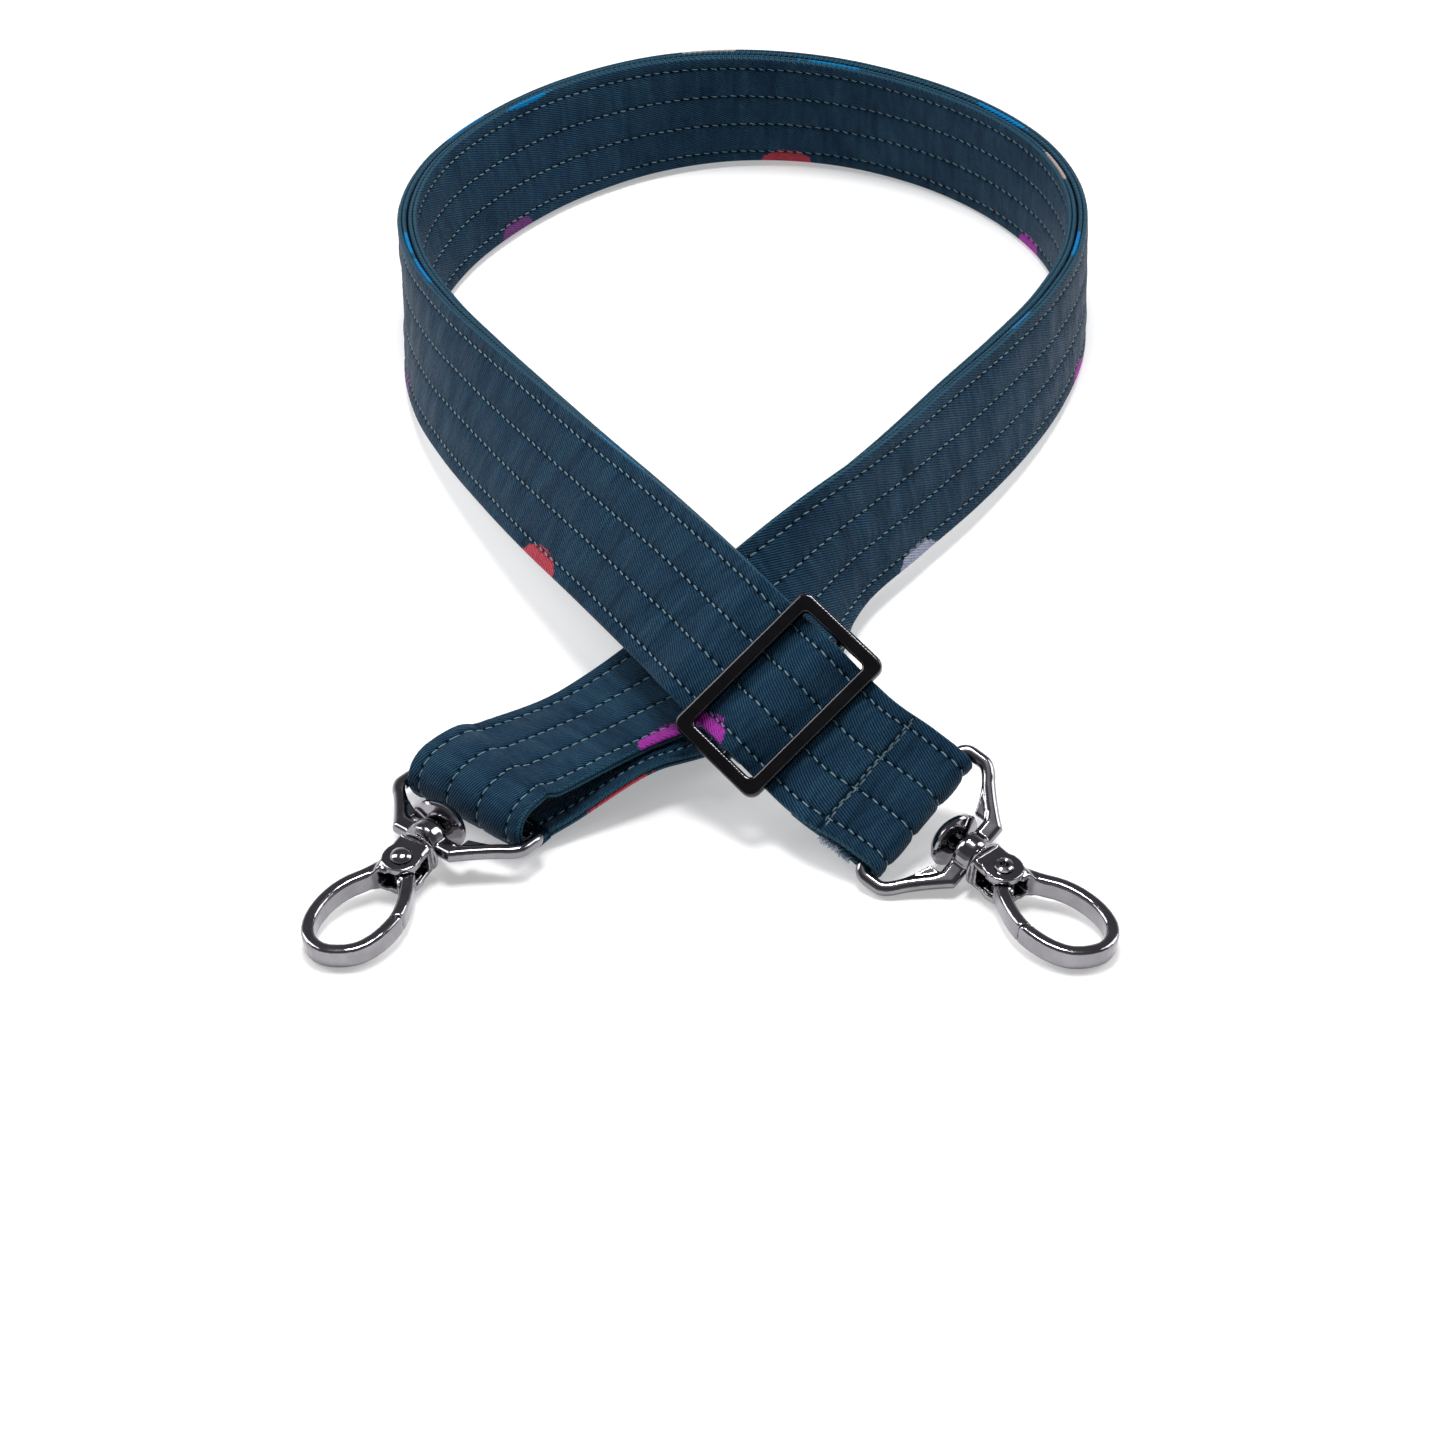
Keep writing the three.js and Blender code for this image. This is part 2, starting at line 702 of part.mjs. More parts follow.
function ringGeometry() {
  const corner = ringCornerRadius;
  const back = -ringBarRadius;
  const arm = ringArmPoints();
  const shape = new THREE.Shape();
  shape.moveTo(corner - ringOuterHalf, back);
  shape.lineTo(ringOuterHalf - corner, back);
  shape.absarc(ringOuterHalf - corner, back + corner, corner, -Math.PI / 2, 0, false);
  for (const p of arm) shape.lineTo(p.x, p.y);
  for (const p of [...arm].reverse()) shape.lineTo(-p.x, p.y);
  shape.absarc(corner - ringOuterHalf, back + corner, corner, Math.PI, 1.5 * Math.PI, false);

  const innerCorner = ringInnerCorner;
  const front = ringBarRadius;
  const edge = ringWindowPoints();
  const hole = new THREE.Path();
  hole.moveTo(innerCorner - ringInnerHalf, front);
  hole.lineTo(ringInnerHalf - innerCorner, front);
  hole.absarc(ringInnerHalf - innerCorner, front + innerCorner, innerCorner, -Math.PI / 2, 0, false);
  for (const [x, y] of edge) hole.lineTo(x, y);
  for (const [x, y] of [...edge].reverse()) hole.lineTo(-x, y);
  hole.absarc(innerCorner - ringInnerHalf, front + innerCorner, innerCorner, Math.PI, 1.5 * Math.PI, false);
  shape.holes.push(hole);

  const half = ringBaseDepth / 2;
  const boss = new THREE.LatheGeometry([
    new THREE.Vector2(0, -half),
    new THREE.Vector2(ringBossWaist, -half),
    new THREE.Vector2(ringBossRadius, -half / 2),
    new THREE.Vector2(ringBossRadius, half / 2),
    new THREE.Vector2(ringBossWaist, half),
    new THREE.Vector2(0, half),
  ], 24).translate(0, boreReach, 0);
  const bore = new THREE.CylinderGeometry(boreRadius, boreRadius, ringBaseDepth + 2 * overrun, 20);
  bore.translate(0, boreReach, 0);
  let ring = toSolid(plate(shape, ringWire, ringRoundness, 3, 4));
  for (const side of [-1, 1]) ring = ring.add(toSolid(ringWebGeometry(side)));
  return toGeometry(ring.add(toSolid(boss)).subtract(toSolid(bore)));
}

// Swivel hook.

// All along X from the centre of the mushroom head's rim; the spine is on +Y, the gate on -Y.

function postGeometry() {
  const shankEnd = neckStart + neckWall + clearance;
  return turnedAboutX([
    [0, -headDome - headRim],
    [0.45 * headRadius, -headRim - 0.88 * headDome],
    [0.78 * headRadius, -headRim - 0.55 * headDome],
    [0.96 * headRadius, -headRim - 0.16 * headDome],
    [headRadius, -headRim / 2],
    [0.95 * headRadius, 0],
    [shankRadius, headCone],
    [shankRadius, shankEnd],
    [postEndRadius, shankEnd + postEndHeight / 3],
    [0.7 * postEndRadius, shankEnd + postEndHeight],
    [0, shankEnd + postEndHeight],
  ], 28);
}

// The eye's outer edge: along and across as shares of the eye's length and width.
const eyeShares = [
  [-0.02, -0.27], [0.1, -0.36], [0.26, -0.45], [0.42, -0.495], [0.58, -0.485], [0.73, -0.435],
  [0.86, -0.335], [0.955, -0.16], [1, 0.04], [0.965, 0.24], [0.87, 0.385], [0.74, 0.465],
  [0.58, 0.497], [0.4, 0.475], [0.24, 0.4], [0.1, 0.28], [-0.02, 0.2],
];

function eyeOuterPoints() {
  const curve = new THREE.CatmullRomCurve3(
    eyeShares.map(([alongShare, acrossShare]) => vec(
      eyeStart + alongShare * eyeLength,
      eyeOffset + acrossShare * eyeWidth,
      0,
    )),
    false,
    "centripetal",
  );
  return curve.getPoints(36).map((p) => [p.x, p.y]);
}

// The window's edge keeps the band's width inside the outer edge.
function eyeInnerPoints() {
  const outer = eyeOuterPoints();
  const points = [];
  for (let i = 1; i < outer.length - 1; i += 1) {
    const dx = outer[i + 1][0] - outer[i - 1][0];
    const dy = outer[i + 1][1] - outer[i - 1][1];
    const length = Math.hypot(dx, dy);
    const x = outer[i][0] - (dy / length) * eyeBand;
    const y = outer[i][1] + (dx / length) * eyeBand;
    if (x > pinX + pivotBossRadius + clearance) points.push([x, y]);
  }
  return points;
}

function eyeBandSolid() {
  const outer = eyeOuterPoints();
  const shape = polygonShape([...outer, [pinX, neckWidth / 2], [pinX, -neckWidth / 2]]);
  shape.holes.push(new THREE.Path(eyeInnerPoints().map(([x, y]) => new THREE.Vector2(x, y))));
  return toSolid(plate(shape, eyeThickness, eyeBevel, 2, 4));
}

// The ground that the gate takes up beside the pivot boss, up to the nose's slanted end.
// rootShare places its edge beside the boss: the body is cut further up than the gate reaches.
const swingRoomShare = 0.1;
const gateRootShare = -0.1;

function gateGround(play, rootShare) {
  const nose = eyeStart + 0.5 * eyeLength - play;
  const slant = 0.14 * eyeLength;
  const low = eyeOffset - eyeWidth / 2 - overrun;
  const inner = eyeOffset - eyeWidth / 2 + eyeBand + overrun;
  const outline = polygonShape([
    [pinX + play, low],
    [nose - slant, low],
    [nose, inner],
    [nose - slant, 0],
    [pinX + 2 * pivotBossRadius, rootShare * eyeWidth],
    [pinX + play, Math.min(0, rootShare * eyeWidth)],
  ]);
  const ground = toSolid(plate(outline, neckThickness + 2 * overrun, 0, 1, 1));
  const boss = cylinderAlongZ(pivotBossRadius + play, neckThickness + 4 * overrun, 32);
  return ground.subtract(toSolid(boss.translate(pinX, 0, 0)));
}

function hookBodyGeometry() {
  // Neck: a square block seen from the side, thinning to the eye.
  const half = neckThickness / 2;
  const neckSide = polygonShape([
    [neckStart - collarThickness / 2, -half], [pinX + 0.4 * pivotBossRadius, -half],
    [pinX + 0.4 * pivotBossRadius + neckTaperLength, -eyeThickness / 2],
    [pinX + 0.4 * pivotBossRadius + neckTaperLength, eyeThickness / 2],
    [pinX + 0.4 * pivotBossRadius, half], [neckStart - collarThickness / 2, half],
  ]);
  const neck = toSolid(plate(neckSide, neckWidth, neckChamfer, 1, 1).rotateX(Math.PI / 2));
  const boss = toSolid(cylinderAlongZ(pivotBossRadius, neckThickness, 32).translate(pinX, 0, 0));
  const collar = toSolid(turnedAboutX([
    [0, collarStart],
    [postSeatRadius + clearance, collarStart],
    [collarRadius, collarStart + collarCone],
    [collarRadius, neckStart - 0.3 * collarThickness],
    [0.9 * collarRadius, neckStart],
    [0, neckStart],
  ], 28));
  let body = eyeBandSolid().add(neck).add(boss);
  // The window and the gate's ground.
  const windowShape = new THREE.Shape(eyeInnerPoints().map(([x, y]) => new THREE.Vector2(x, y)));
  body = body.subtract(toSolid(plate(windowShape, neckThickness + 2 * overrun, 0, 1, 1)));
  body = body.subtract(gateGround(0, swingRoomShare)).add(collar);
  // The slot for the gate's root, run on into the spine.
  const slotStart = neckStart + neckWall;
  const slotEnd = pinX + slotReach;
  const slotTop = neckWidth / 2 - slotWall;
  const slotLow = eyeOffset - eyeWidth / 2 - overrun;
  const slotShape = polygonShape([
    [slotStart, slotLow], [slotEnd, slotLow], [slotEnd, slotTop + 0.12 * eyeWidth],
    [pinX + pivotBossRadius, slotTop], [slotStart, slotTop],
  ]);
  const nearSlot = toSolid(plate(slotShape, slotHeight, 0, 1, 1));
  body = body.subtract(nearSlot);
  // Bores for the post and for the pin.
  const shankBore = new THREE.CylinderGeometry(
    shankRadius + clearance, shankRadius + clearance, neckStart + neckWall + 2 * overrun, 20,
  ).rotateZ(Math.PI / 2);
  shankBore.translate((neckStart + neckWall) / 2, 0, 0);
  const pinBore = cylinderAlongZ(pinRadius + clearance, neckThickness + 2 * overrun, 20).translate(pinX, 0, 0);
  return toGeometry(body.subtract(toSolid(shankBore)).subtract(toSolid(pinBore)));
}

function gateGeometry() {
  const lever = eyeBandSolid().intersect(gateGround(clearance, gateRootShare));
  const rootHalf = gateRootThickness / 2;
  const edge = eyeOffset - 0.36 * eyeWidth;
  const root = polygonShape([
    [pinX - 0.6 * gateRootRadius, -gateTailReach], [pinX + 0.4 * gateRootRadius, -gateTailReach],
    [pinX + pivotBossRadius, edge + 0.4 * eyeBand], [pinX + pivotBossRadius + eyeBand, edge],
    [pinX + pivotBossRadius + eyeBand, edge + 0.8 * eyeBand],
    [pinX + 0.8 * gateRootRadius, 0.6 * gateRootRadius], [pinX - 0.6 * gateRootRadius, 0],
  ]);
  const tongue = toSolid(plate(root, gateRootThickness, 0, 1, 1));
  const hub = toSolid(cylinderAlongZ(gateRootRadius, gateRootThickness, 24).translate(pinX, 0, 0));
  const bore = cylinderAlongZ(pinRadius + clearance, neckThickness, 20).translate(pinX, 0, 0);
  const room = cylinderAlongZ(
    gateRootRadius + overrun, gateRootThickness - 2 * gateCheek, 24,
  ).translate(pinX, 0, 0);
  return toGeometry(
    tongue.add(hub).subtract(toSolid(room)).add(lever).subtract(toSolid(bore)),
  );
}

function pinGeometry() {
  const half = neckThickness / 2 + clearance;
  return turnedAboutZ([
    [0, -half - domeHeight],
    [0.55 * domeRadius, -half - 0.85 * domeHeight],
    [0.88 * domeRadius, -half - 0.45 * domeHeight],
    [domeRadius, -half],
    [pinRadius, -half],
    [pinRadius, half],
    [rivetRadius, half],
    [0.92 * rivetRadius, half + 0.7 * rivetLip],
    [0.7 * rivetRadius, half + rivetLip],
    [rivetDimpleRadius, half + 0.8 * rivetLip],
    [0.7 * rivetDimpleRadius, half + rivetLip - rivetDimpleDepth],
    [0, half + rivetLip - rivetDimpleDepth],
  ], 20).translate(pinX, 0, 0);
}

// Steps in a turn of the spring and along a leg, and the angle at which the coil starts.
const springTurnSteps = 12;
const springLegSteps = 4;
const springStartAngle = -70;

// The wire's middle line: a straight leg, the coil round the pin, and a leg along the gate.
function springPoints() {
  const radius = pinRadius + clearance + springWire;
  const steps = springTurns * springTurnSteps;
  const rise = springTurns * springPitch;
  const coil = (i) => {
    const angle = rad(springStartAngle + (i * 360) / springTurnSteps);
    const height = (i / steps - 0.5) * rise;
    return vec(pinX + radius * Math.cos(angle), radius * Math.sin(angle), height);
  };
  const backLeg = vec(0.5 * springLeg * Math.sin(rad(springStartAngle)), 0, 0);
  const gateLeg = vec(springLeg, 0.25 * springLeg, 0);
  const points = [];
  for (let i = springLegSteps; i > 0; i -= 1) {
    points.push(coil(0).addScaledVector(backLeg, i / springLegSteps));
  }
  for (let i = 0; i <= steps; i += 1) points.push(coil(i));
  for (let i = 1; i <= springLegSteps; i += 1) {
    points.push(coil(steps).addScaledVector(gateLeg, i / springLegSteps));
  }
  return points;
}

// The least gap between stretches of the wire that are more than half a turn apart.
function springGap(points) {
  let gap = Infinity;
  for (let i = 0; i < points.length; i += 1) {
    for (let j = i + 1 + springTurnSteps / 2; j < points.length; j += 1) {
      gap = Math.min(gap, points[i].distanceTo(points[j]) - springWire);
    }
  }
  return gap;
}

function springGeometry() {
  return sweptTube(springPoints(), springWire / 2, 6);
}

console.log(`gate spring: least gap to itself ${springGap(springPoints()).toFixed(3)} mm`);

// Assembly.

const gunmetal = metal(0x8a8790, 0.18);
const darkSteel = metal(0x24242a, 0.25);
const tealTwill = fabric(0x2b4c62);
const darkTwill = fabric(0x213d51);

const object = new THREE.Group();
const stations = strapStations();
object.add(piece("strap_outer_ply", sweptStrip(stations, plySection(1)), tealTwill));
object.add(piece("strap_inner_ply", sweptStrip(stations, plySection(-1)), darkTwill));

function placed(origin, xAxis, yAxis, zAxis) {
  const group = new THREE.Group();
  group.quaternion.setFromRotationMatrix(new THREE.Matrix4().makeBasis(xAxis, yAxis, zAxis));
  group.position.copy(origin);
  object.add(group);
  return group;
}

const sliderSeat = frameAt(sliderDistance);
const slider = placed(
  sliderSeat.point.clone().addScaledVector(sliderSeat.normal, sliderHeight),
  sliderSeat.width,
  sliderSeat.normal.clone().cross(sliderSeat.width),
  sliderSeat.normal,
);
slider.add(piece("slider_frame", sliderFrameGeometry(), darkSteel));
slider.add(piece("slider_centre_bar", centreBarGeometry(), darkSteel));

// A ring hangs in its fold at the angle that rests the swivel head's rim on the surface.
function endFittings(side, along, height, outward, heading, roll) {
  const end = frameAt(along);
  const barCentre = end.point.clone().addScaledVector(end.normal, height);
  const forward = end.direction.clone().multiplyScalar(outward);
  const across = end.width.clone();
  const hookAxis = vec(1, 0, 0).applyEuler(new THREE.Euler(roll, hookPitch, rad(heading), "ZYX"));
  const boreHeight = headHeight + hookAxis.z * boreFromHead;
  const reach = (boreHeight - barCentre.z) / boreReach;
  const size = Math.hypot(forward.z, end.normal.z);
  const tilt = Math.atan2(end.normal.z, forward.z);
  const swing = Math.acos(THREE.MathUtils.clamp(reach / size, -1, 1));
  const choices = [tilt - swing, tilt + swing].sort((a, b) => Math.abs(a) - Math.abs(b));
  const axis = forward.clone().multiplyScalar(Math.cos(choices[0]));
  axis.addScaledVector(end.normal, Math.sin(choices[0])).normalize();
  const ring = placed(barCentre, across, axis, across.clone().cross(axis));
  ring.add(piece(`${side}_ring`, ringGeometry(), gunmetal));

  const hook = new THREE.Group();
  hook.position.copy(barCentre).addScaledVector(axis, boreReach).addScaledVector(hookAxis, -boreFromHead);
  hook.rotation.set(roll, hookPitch, rad(heading), "ZYX");
  hook.add(piece(`${side}_swivel_post`, postGeometry(), gunmetal));
  hook.add(piece(`${side}_hook_body`, hookBodyGeometry(), gunmetal));
  hook.add(piece(`${side}_gate`, gateGeometry(), gunmetal));
  hook.add(piece(`${side}_gate_pin`, pinGeometry(), gunmetal));
  hook.add(piece(`${side}_gate_spring`, springGeometry(), darkSteel));
  object.add(hook);
}

endFittings("right", 0, -foldRadius, -1, rightHeading, 0);
endFittings("left", routeLength + leftBarSlack, -leftLoopRadius - leftBarDrop, 1, leftHeading, Math.PI);

// The origin is under the middle of the object, on the surface it rests on.
const reachBox = new THREE.Box3().setFromObject(object, true);
const middle = reachBox.getCenter(vec(0, 0, 0));
object.position.set(-middle.x, -middle.y, -reachBox.min.z);

export default object;
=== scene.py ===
import json
import math
import bpy
import bmesh
import numpy as np
from mathutils import Matrix, Vector


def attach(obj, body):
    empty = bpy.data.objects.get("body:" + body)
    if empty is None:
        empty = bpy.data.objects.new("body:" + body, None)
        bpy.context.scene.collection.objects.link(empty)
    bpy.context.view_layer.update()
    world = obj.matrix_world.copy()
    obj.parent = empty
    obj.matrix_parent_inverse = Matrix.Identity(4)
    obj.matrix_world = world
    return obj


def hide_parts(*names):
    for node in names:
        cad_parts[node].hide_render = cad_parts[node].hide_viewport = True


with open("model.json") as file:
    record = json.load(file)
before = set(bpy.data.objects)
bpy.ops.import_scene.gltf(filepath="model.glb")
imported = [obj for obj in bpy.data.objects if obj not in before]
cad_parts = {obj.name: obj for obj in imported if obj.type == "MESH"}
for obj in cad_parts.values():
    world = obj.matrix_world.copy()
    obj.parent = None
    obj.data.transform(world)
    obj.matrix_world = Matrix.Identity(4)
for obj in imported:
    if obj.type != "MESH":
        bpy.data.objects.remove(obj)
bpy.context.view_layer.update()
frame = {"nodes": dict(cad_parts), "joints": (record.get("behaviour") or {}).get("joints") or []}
print("frame loaded:", len(frame["nodes"]), "nodes")

mm = 0.001
scene = bpy.context.scene
scene.view_settings.view_transform = "Standard"


# camera

cameraCut = {
    "place": (-3.2, -839.5, 615.4),  # millimetres, in front of and above the strap
    "tilt": 50.433,
    "focal": 92.2,
    "sensor": 36,
    "clip": (0.05, 20),  # metres
}


def makeCamera(cut):
    data = bpy.data.cameras.new("photoCamera")
    data.lens = cut["focal"]
    data.sensor_width = cut["sensor"]
    data.clip_start, data.clip_end = cut["clip"]
    camera = bpy.data.objects.new("photoCamera", data)
    camera.location = Vector(cut["place"]) * mm
    camera.rotation_euler = (math.radians(cut["tilt"]), 0, 0)
    scene.collection.objects.link(camera)
    scene.camera = camera


makeCamera(cameraCut)
print("camera placed")


# small helpers for node materials

def newMaterial(name):
    material = bpy.data.materials.new(name)
    material.use_nodes = True
    tree = material.node_tree
    return material, tree, tree.nodes["Principled BSDF"]


def addNode(tree, kind, **values):
    node = tree.nodes.new(kind)
    for key, value in values.items():
        setattr(node, key, value)
    return node


def maths(tree, operation, first, second=None):
    node = addNode(tree, "ShaderNodeMath", operation=operation)
    for socket, value in zip(node.inputs, (first, second)):
        if value is None:
            continue
        if isinstance(value, (int, float)):
            socket.default_value = value
        else:
            tree.links.new(value, socket)
    return node.outputs[0]


def mixColour(tree, factor, first, second):
    node = addNode(tree, "ShaderNodeMix", data_type="RGBA")
    for socket, value in zip((node.inputs[0], node.inputs[6], node.inputs[7]), (factor, first, second)):
        if isinstance(value, (int, float)):
            socket.default_value = value
        elif isinstance(value, (tuple, list)):
            socket.default_value = (*value, 1)
        else:
            tree.links.new(value, socket)
    return node.outputs[2]


def noise(tree, vector, scale, detail=2, roughness=0.5):
    node = addNode(tree, "ShaderNodeTexNoise")
    node.inputs["Scale"].default_value = scale
    node.inputs["Detail"].default_value = detail
    node.inputs["Roughness"].default_value = roughness
    tree.links.new(vector, node.inputs["Vector"])
    return node.outputs["Fac"]


def ramp(tree, value, low, high, toLow=0.0, toHigh=1.0, smooth=True):
    node = addNode(tree, "ShaderNodeMapRange")
    node.interpolation_type = "SMOOTHSTEP" if smooth else "LINEAR"
    tree.links.new(value, node.inputs["Value"])
    for name, number in zip(("From Min", "From Max", "To Min", "To Max"), (low, high, toLow, toHigh)):
        node.inputs[name].default_value = number
    return node.outputs["Result"]


def bumped(tree, height, strength, distance, under=None):
    node = addNode(tree, "ShaderNodeBump")
    node.inputs["Strength"].default_value = strength
    node.inputs["Distance"].default_value = distance
    tree.links.new(height, node.inputs["Height"])
    if under is not None:
        tree.links.new(under, node.inputs["Normal"])
    return node.outputs["Normal"]


# the laid-out strap, in millimetres

strapCut = {
    "width": 38,
    "ply": 1.15,
    "seam": 0.3,
    "tail": 21,
    "tailSpread": 0.4,
    "tailRise": ((0.7, 1, 0.1), (0.35, 0.4, 1.2)),  # shares of the tail, its depth and the fold
    "loopRadius": 6.4,
    "loopClose": 44,
    "innerSlip": 6,
    "innerSpread": 1,
    "runSpread": 0.3,
    "slipStart": 55,
    "slipLength": 150,
    "barWrapTail": 22,
    "loopWidth": 200,
    "loopDepth": 320,
    "rise": 20,
    "clearance": 0.3,
    "ringWire": 3.5,
    "barWidth": 4,
    "sliderSpan": 29.4,
    "centreBar": 1.5,
    "rampAngle": 35,
    "bendStep": 8,  # degrees between the points of a bend
    "dwell": 2.2,
    "underBar": 4.6,
    "underShare": 0.32,
    "sliderDistance": 43.6,
    "grip": 18,
    "step": 1.0,
    "samples": 1440,
    "softening": 6,
    "sag": 1.3,
    "sagRun": (850, 885, 903.5, 908.5),  # where the sag starts, is full, starts to go and is gone
}

# across and back as shares of the loop, the lower edge's height as a share of the rise, the lean
routeShares = [
    (0.235, -0.1575, 0.358, -66), (0.128, -0.11, 0.71, -60), (0.029, -0.05, 1.07, -55),
    (-0.055, 0.021, 1.15, -50), (-0.138, 0.102, 1.02, -43), (-0.218, 0.181, 0.86, -37),
    (-0.288, 0.257, 0.68, -31), (-0.356, 0.336, 0.49, -24), (-0.415, 0.417, 0.29, -15),
    (-0.455, 0.504, 0.13, -4), (-0.461, 0.593, 0.055, 6), (-0.423, 0.682, 0.03, 12),
    (-0.344, 0.76, 0.03, 13), (-0.243, 0.82, 0.045, 10), (-0.114, 0.864, 0.07, 4),
    (0.022, 0.882, 0.085, -2), (0.17, 0.873, 0.08, -6), (0.306, 0.837, 0.06, -7),
    (0.418, 0.78, 0.045, -5), (0.497, 0.707, 0.04, -3), (0.532, 0.622, 0.04, -2),
    (0.522, 0.53, 0.05, -4), (0.475, 0.443, 0.1, -8), (0.408, 0.363, 0.17, -13),
    (0.33, 0.287, 0.22, -16), (0.246, 0.212, 0.25, -15), (0.159, 0.142, 0.27, -20),
    (0.072, 0.07, 0.38, -49), (-0.03, 0.013, 0.61, -82), (-0.15, -0.042, 0.8, -99),
    (-0.25, -0.091, 0.81, -96), (-0.284, -0.108, 0.81, -94), (-0.304, -0.1225, 0.79, -93),
]


def unit(vectors):
    return vectors / np.linalg.norm(vectors, axis=-1, keepdims=True)


def curveThrough(points, samples, evenKnots):
    points = np.asarray(points, float)
    points = np.vstack([2 * points[0] - points[1], points, 2 * points[-1] - points[-2]])
    spans = len(points) - 3
    out = []
    for i in range(samples + 1):
        t = i / samples * spans
        k = min(int(t), spans - 1)
        u = t - k
        a, b, c, d = points[k:k + 4]
        if evenKnots:
            leave, arrive = (c - a) / 2, (d - b) / 2
        else:
            g, h, e = [np.linalg.norm(q - p) ** 0.5 for p, q in ((a, b), (b, c), (c, d))]
            leave = ((b - a) / g - (c - a) / (g + h) + (c - b) / h) * h
            arrive = ((c - b) / h - (d - b) / (h + e) + (d - c) / e) * h
        cubic = 2 * (b - c) + leave + arrive
        square = 3 * (c - b) - 2 * leave - arrive
        out.append(b + leave * u + square * u * u + cubic * u ** 3)
    return np.array(out)


def smoothStep(value, low, high):
    share = np.clip((value - low) / (high - low), 0, 1)
    return share * share * (3 - 2 * share)


# the middle line of the strap's outer run, with the strap's turn about it
class Route:
    def __init__(self, cut, shares):
        half = cut["width"] / 2
        rows = []
        for across, back, edge, lean in shares:
            height = edge * cut["rise"] + half * math.cos(math.radians(lean))
            rows.append((across * cut["loopWidth"], back * cut["loopDepth"], height))
        self.cut = cut
        self.point = curveThrough(rows, cut["samples"], False)
        turns = [(math.radians(share[3]),) for share in shares]
        lean = curveThrough(turns, cut["samples"], True)[:, :1]
        steps = np.linalg.norm(np.diff(self.point, axis=0), axis=1)
        self.along = np.concatenate([[0], np.cumsum(steps)])
        self.length = self.along[-1]
        self.direction = unit(np.gradient(self.point, axis=0))
        upright = unit(np.array([0, 0, 1]) - self.direction * self.direction[:, 2:])
        sideways = np.cross(upright, self.direction)
        self.width = upright * np.cos(lean) + sideways * np.sin(lean)
        self.normal = np.cross(self.width, self.direction)

    def free(self, along):
        along = np.asarray(along, float)
        got = []
        for table in (self.point, self.direction, self.width, self.normal):
            got.append(np.stack([np.interp(along, self.along, table[:, k]) for k in range(3)], -1))
        past = along - np.clip(along, 0, self.length)
        got[0] = got[0] + got[1] * past[..., None]
        return [got[0], unit(got[1]), unit(got[2]), unit(got[3])]

    def seated(self, along):
        along = np.asarray(along, float)
        free = self.free(along)
        seat = [part[None] for part in self.free(self.cut["sliderDistance"])]
        past = along - self.cut["sliderDistance"]
        hold = (1 - smoothStep(np.abs(past), self.cut["grip"], 2 * self.cut["grip"]))[:, None]
        straight = seat[0] + seat[1] * past[:, None]
        mixed = [free[0] * (1 - hold) + straight * hold]
        return mixed + [unit(f * (1 - hold) + s * hold) for f, s in zip(free[1:], seat[1:])]


def bend(centre, height, radius, fromAngle, toAngle):
    steps = max(2, math.ceil(abs(toAngle - fromAngle) / strapCut["bendStep"]))
    angles = np.radians(np.linspace(fromAngle, toAngle, steps + 1))
    return [(centre + radius * math.cos(a), height + radius * math.sin(a), 0) for a in angles]


def sliderHump(cut):
    thick = 2 * cut["ply"] + cut["seam"]
    pitch = thick + cut["clearance"]
    radius = cut["centreBar"] + cut["clearance"] + thick / 2 + pitch
    longBar = (cut["sliderSpan"] - cut["barWidth"]) / 2
    dwell = longBar - cut["barWidth"] / 2 - cut["dwell"] / 2
    angle = math.radians(cut["rampAngle"])
    drop = radius * (1 - math.cos(angle)) + cut["underBar"] * (1 - math.cos(angle))
    drop += (dwell - (radius + cut["underBar"]) * math.sin(angle)) * math.tan(angle)
    under = -drop * cut["underShare"]
    return {
        "thick": thick,
        "pitch": pitch,
        "radius": radius,
        "longBar": longBar,
        "dwell": dwell,
        "under": under,
        "centre": under + drop - radius,
        "foot": longBar + cut["barWidth"] / 2 + cut["tail"] / 2,
    }


def humpSide(cut, hump, depth, side):
    points = bend(0, hump["centre"], hump["radius"] - depth, 90, 90 - cut["rampAngle"])
    points += bend(hump["dwell"], hump["under"] + cut["underBar"], cut["underBar"] + depth,
                   -90 - cut["rampAngle"], -90)
    points.append((hump["longBar"] + cut["barWidth"] / 2, hump["under"] - depth, 0))
    return [(cut["sliderDistance"] + side * x, z, 0) for x, z, _ in points]


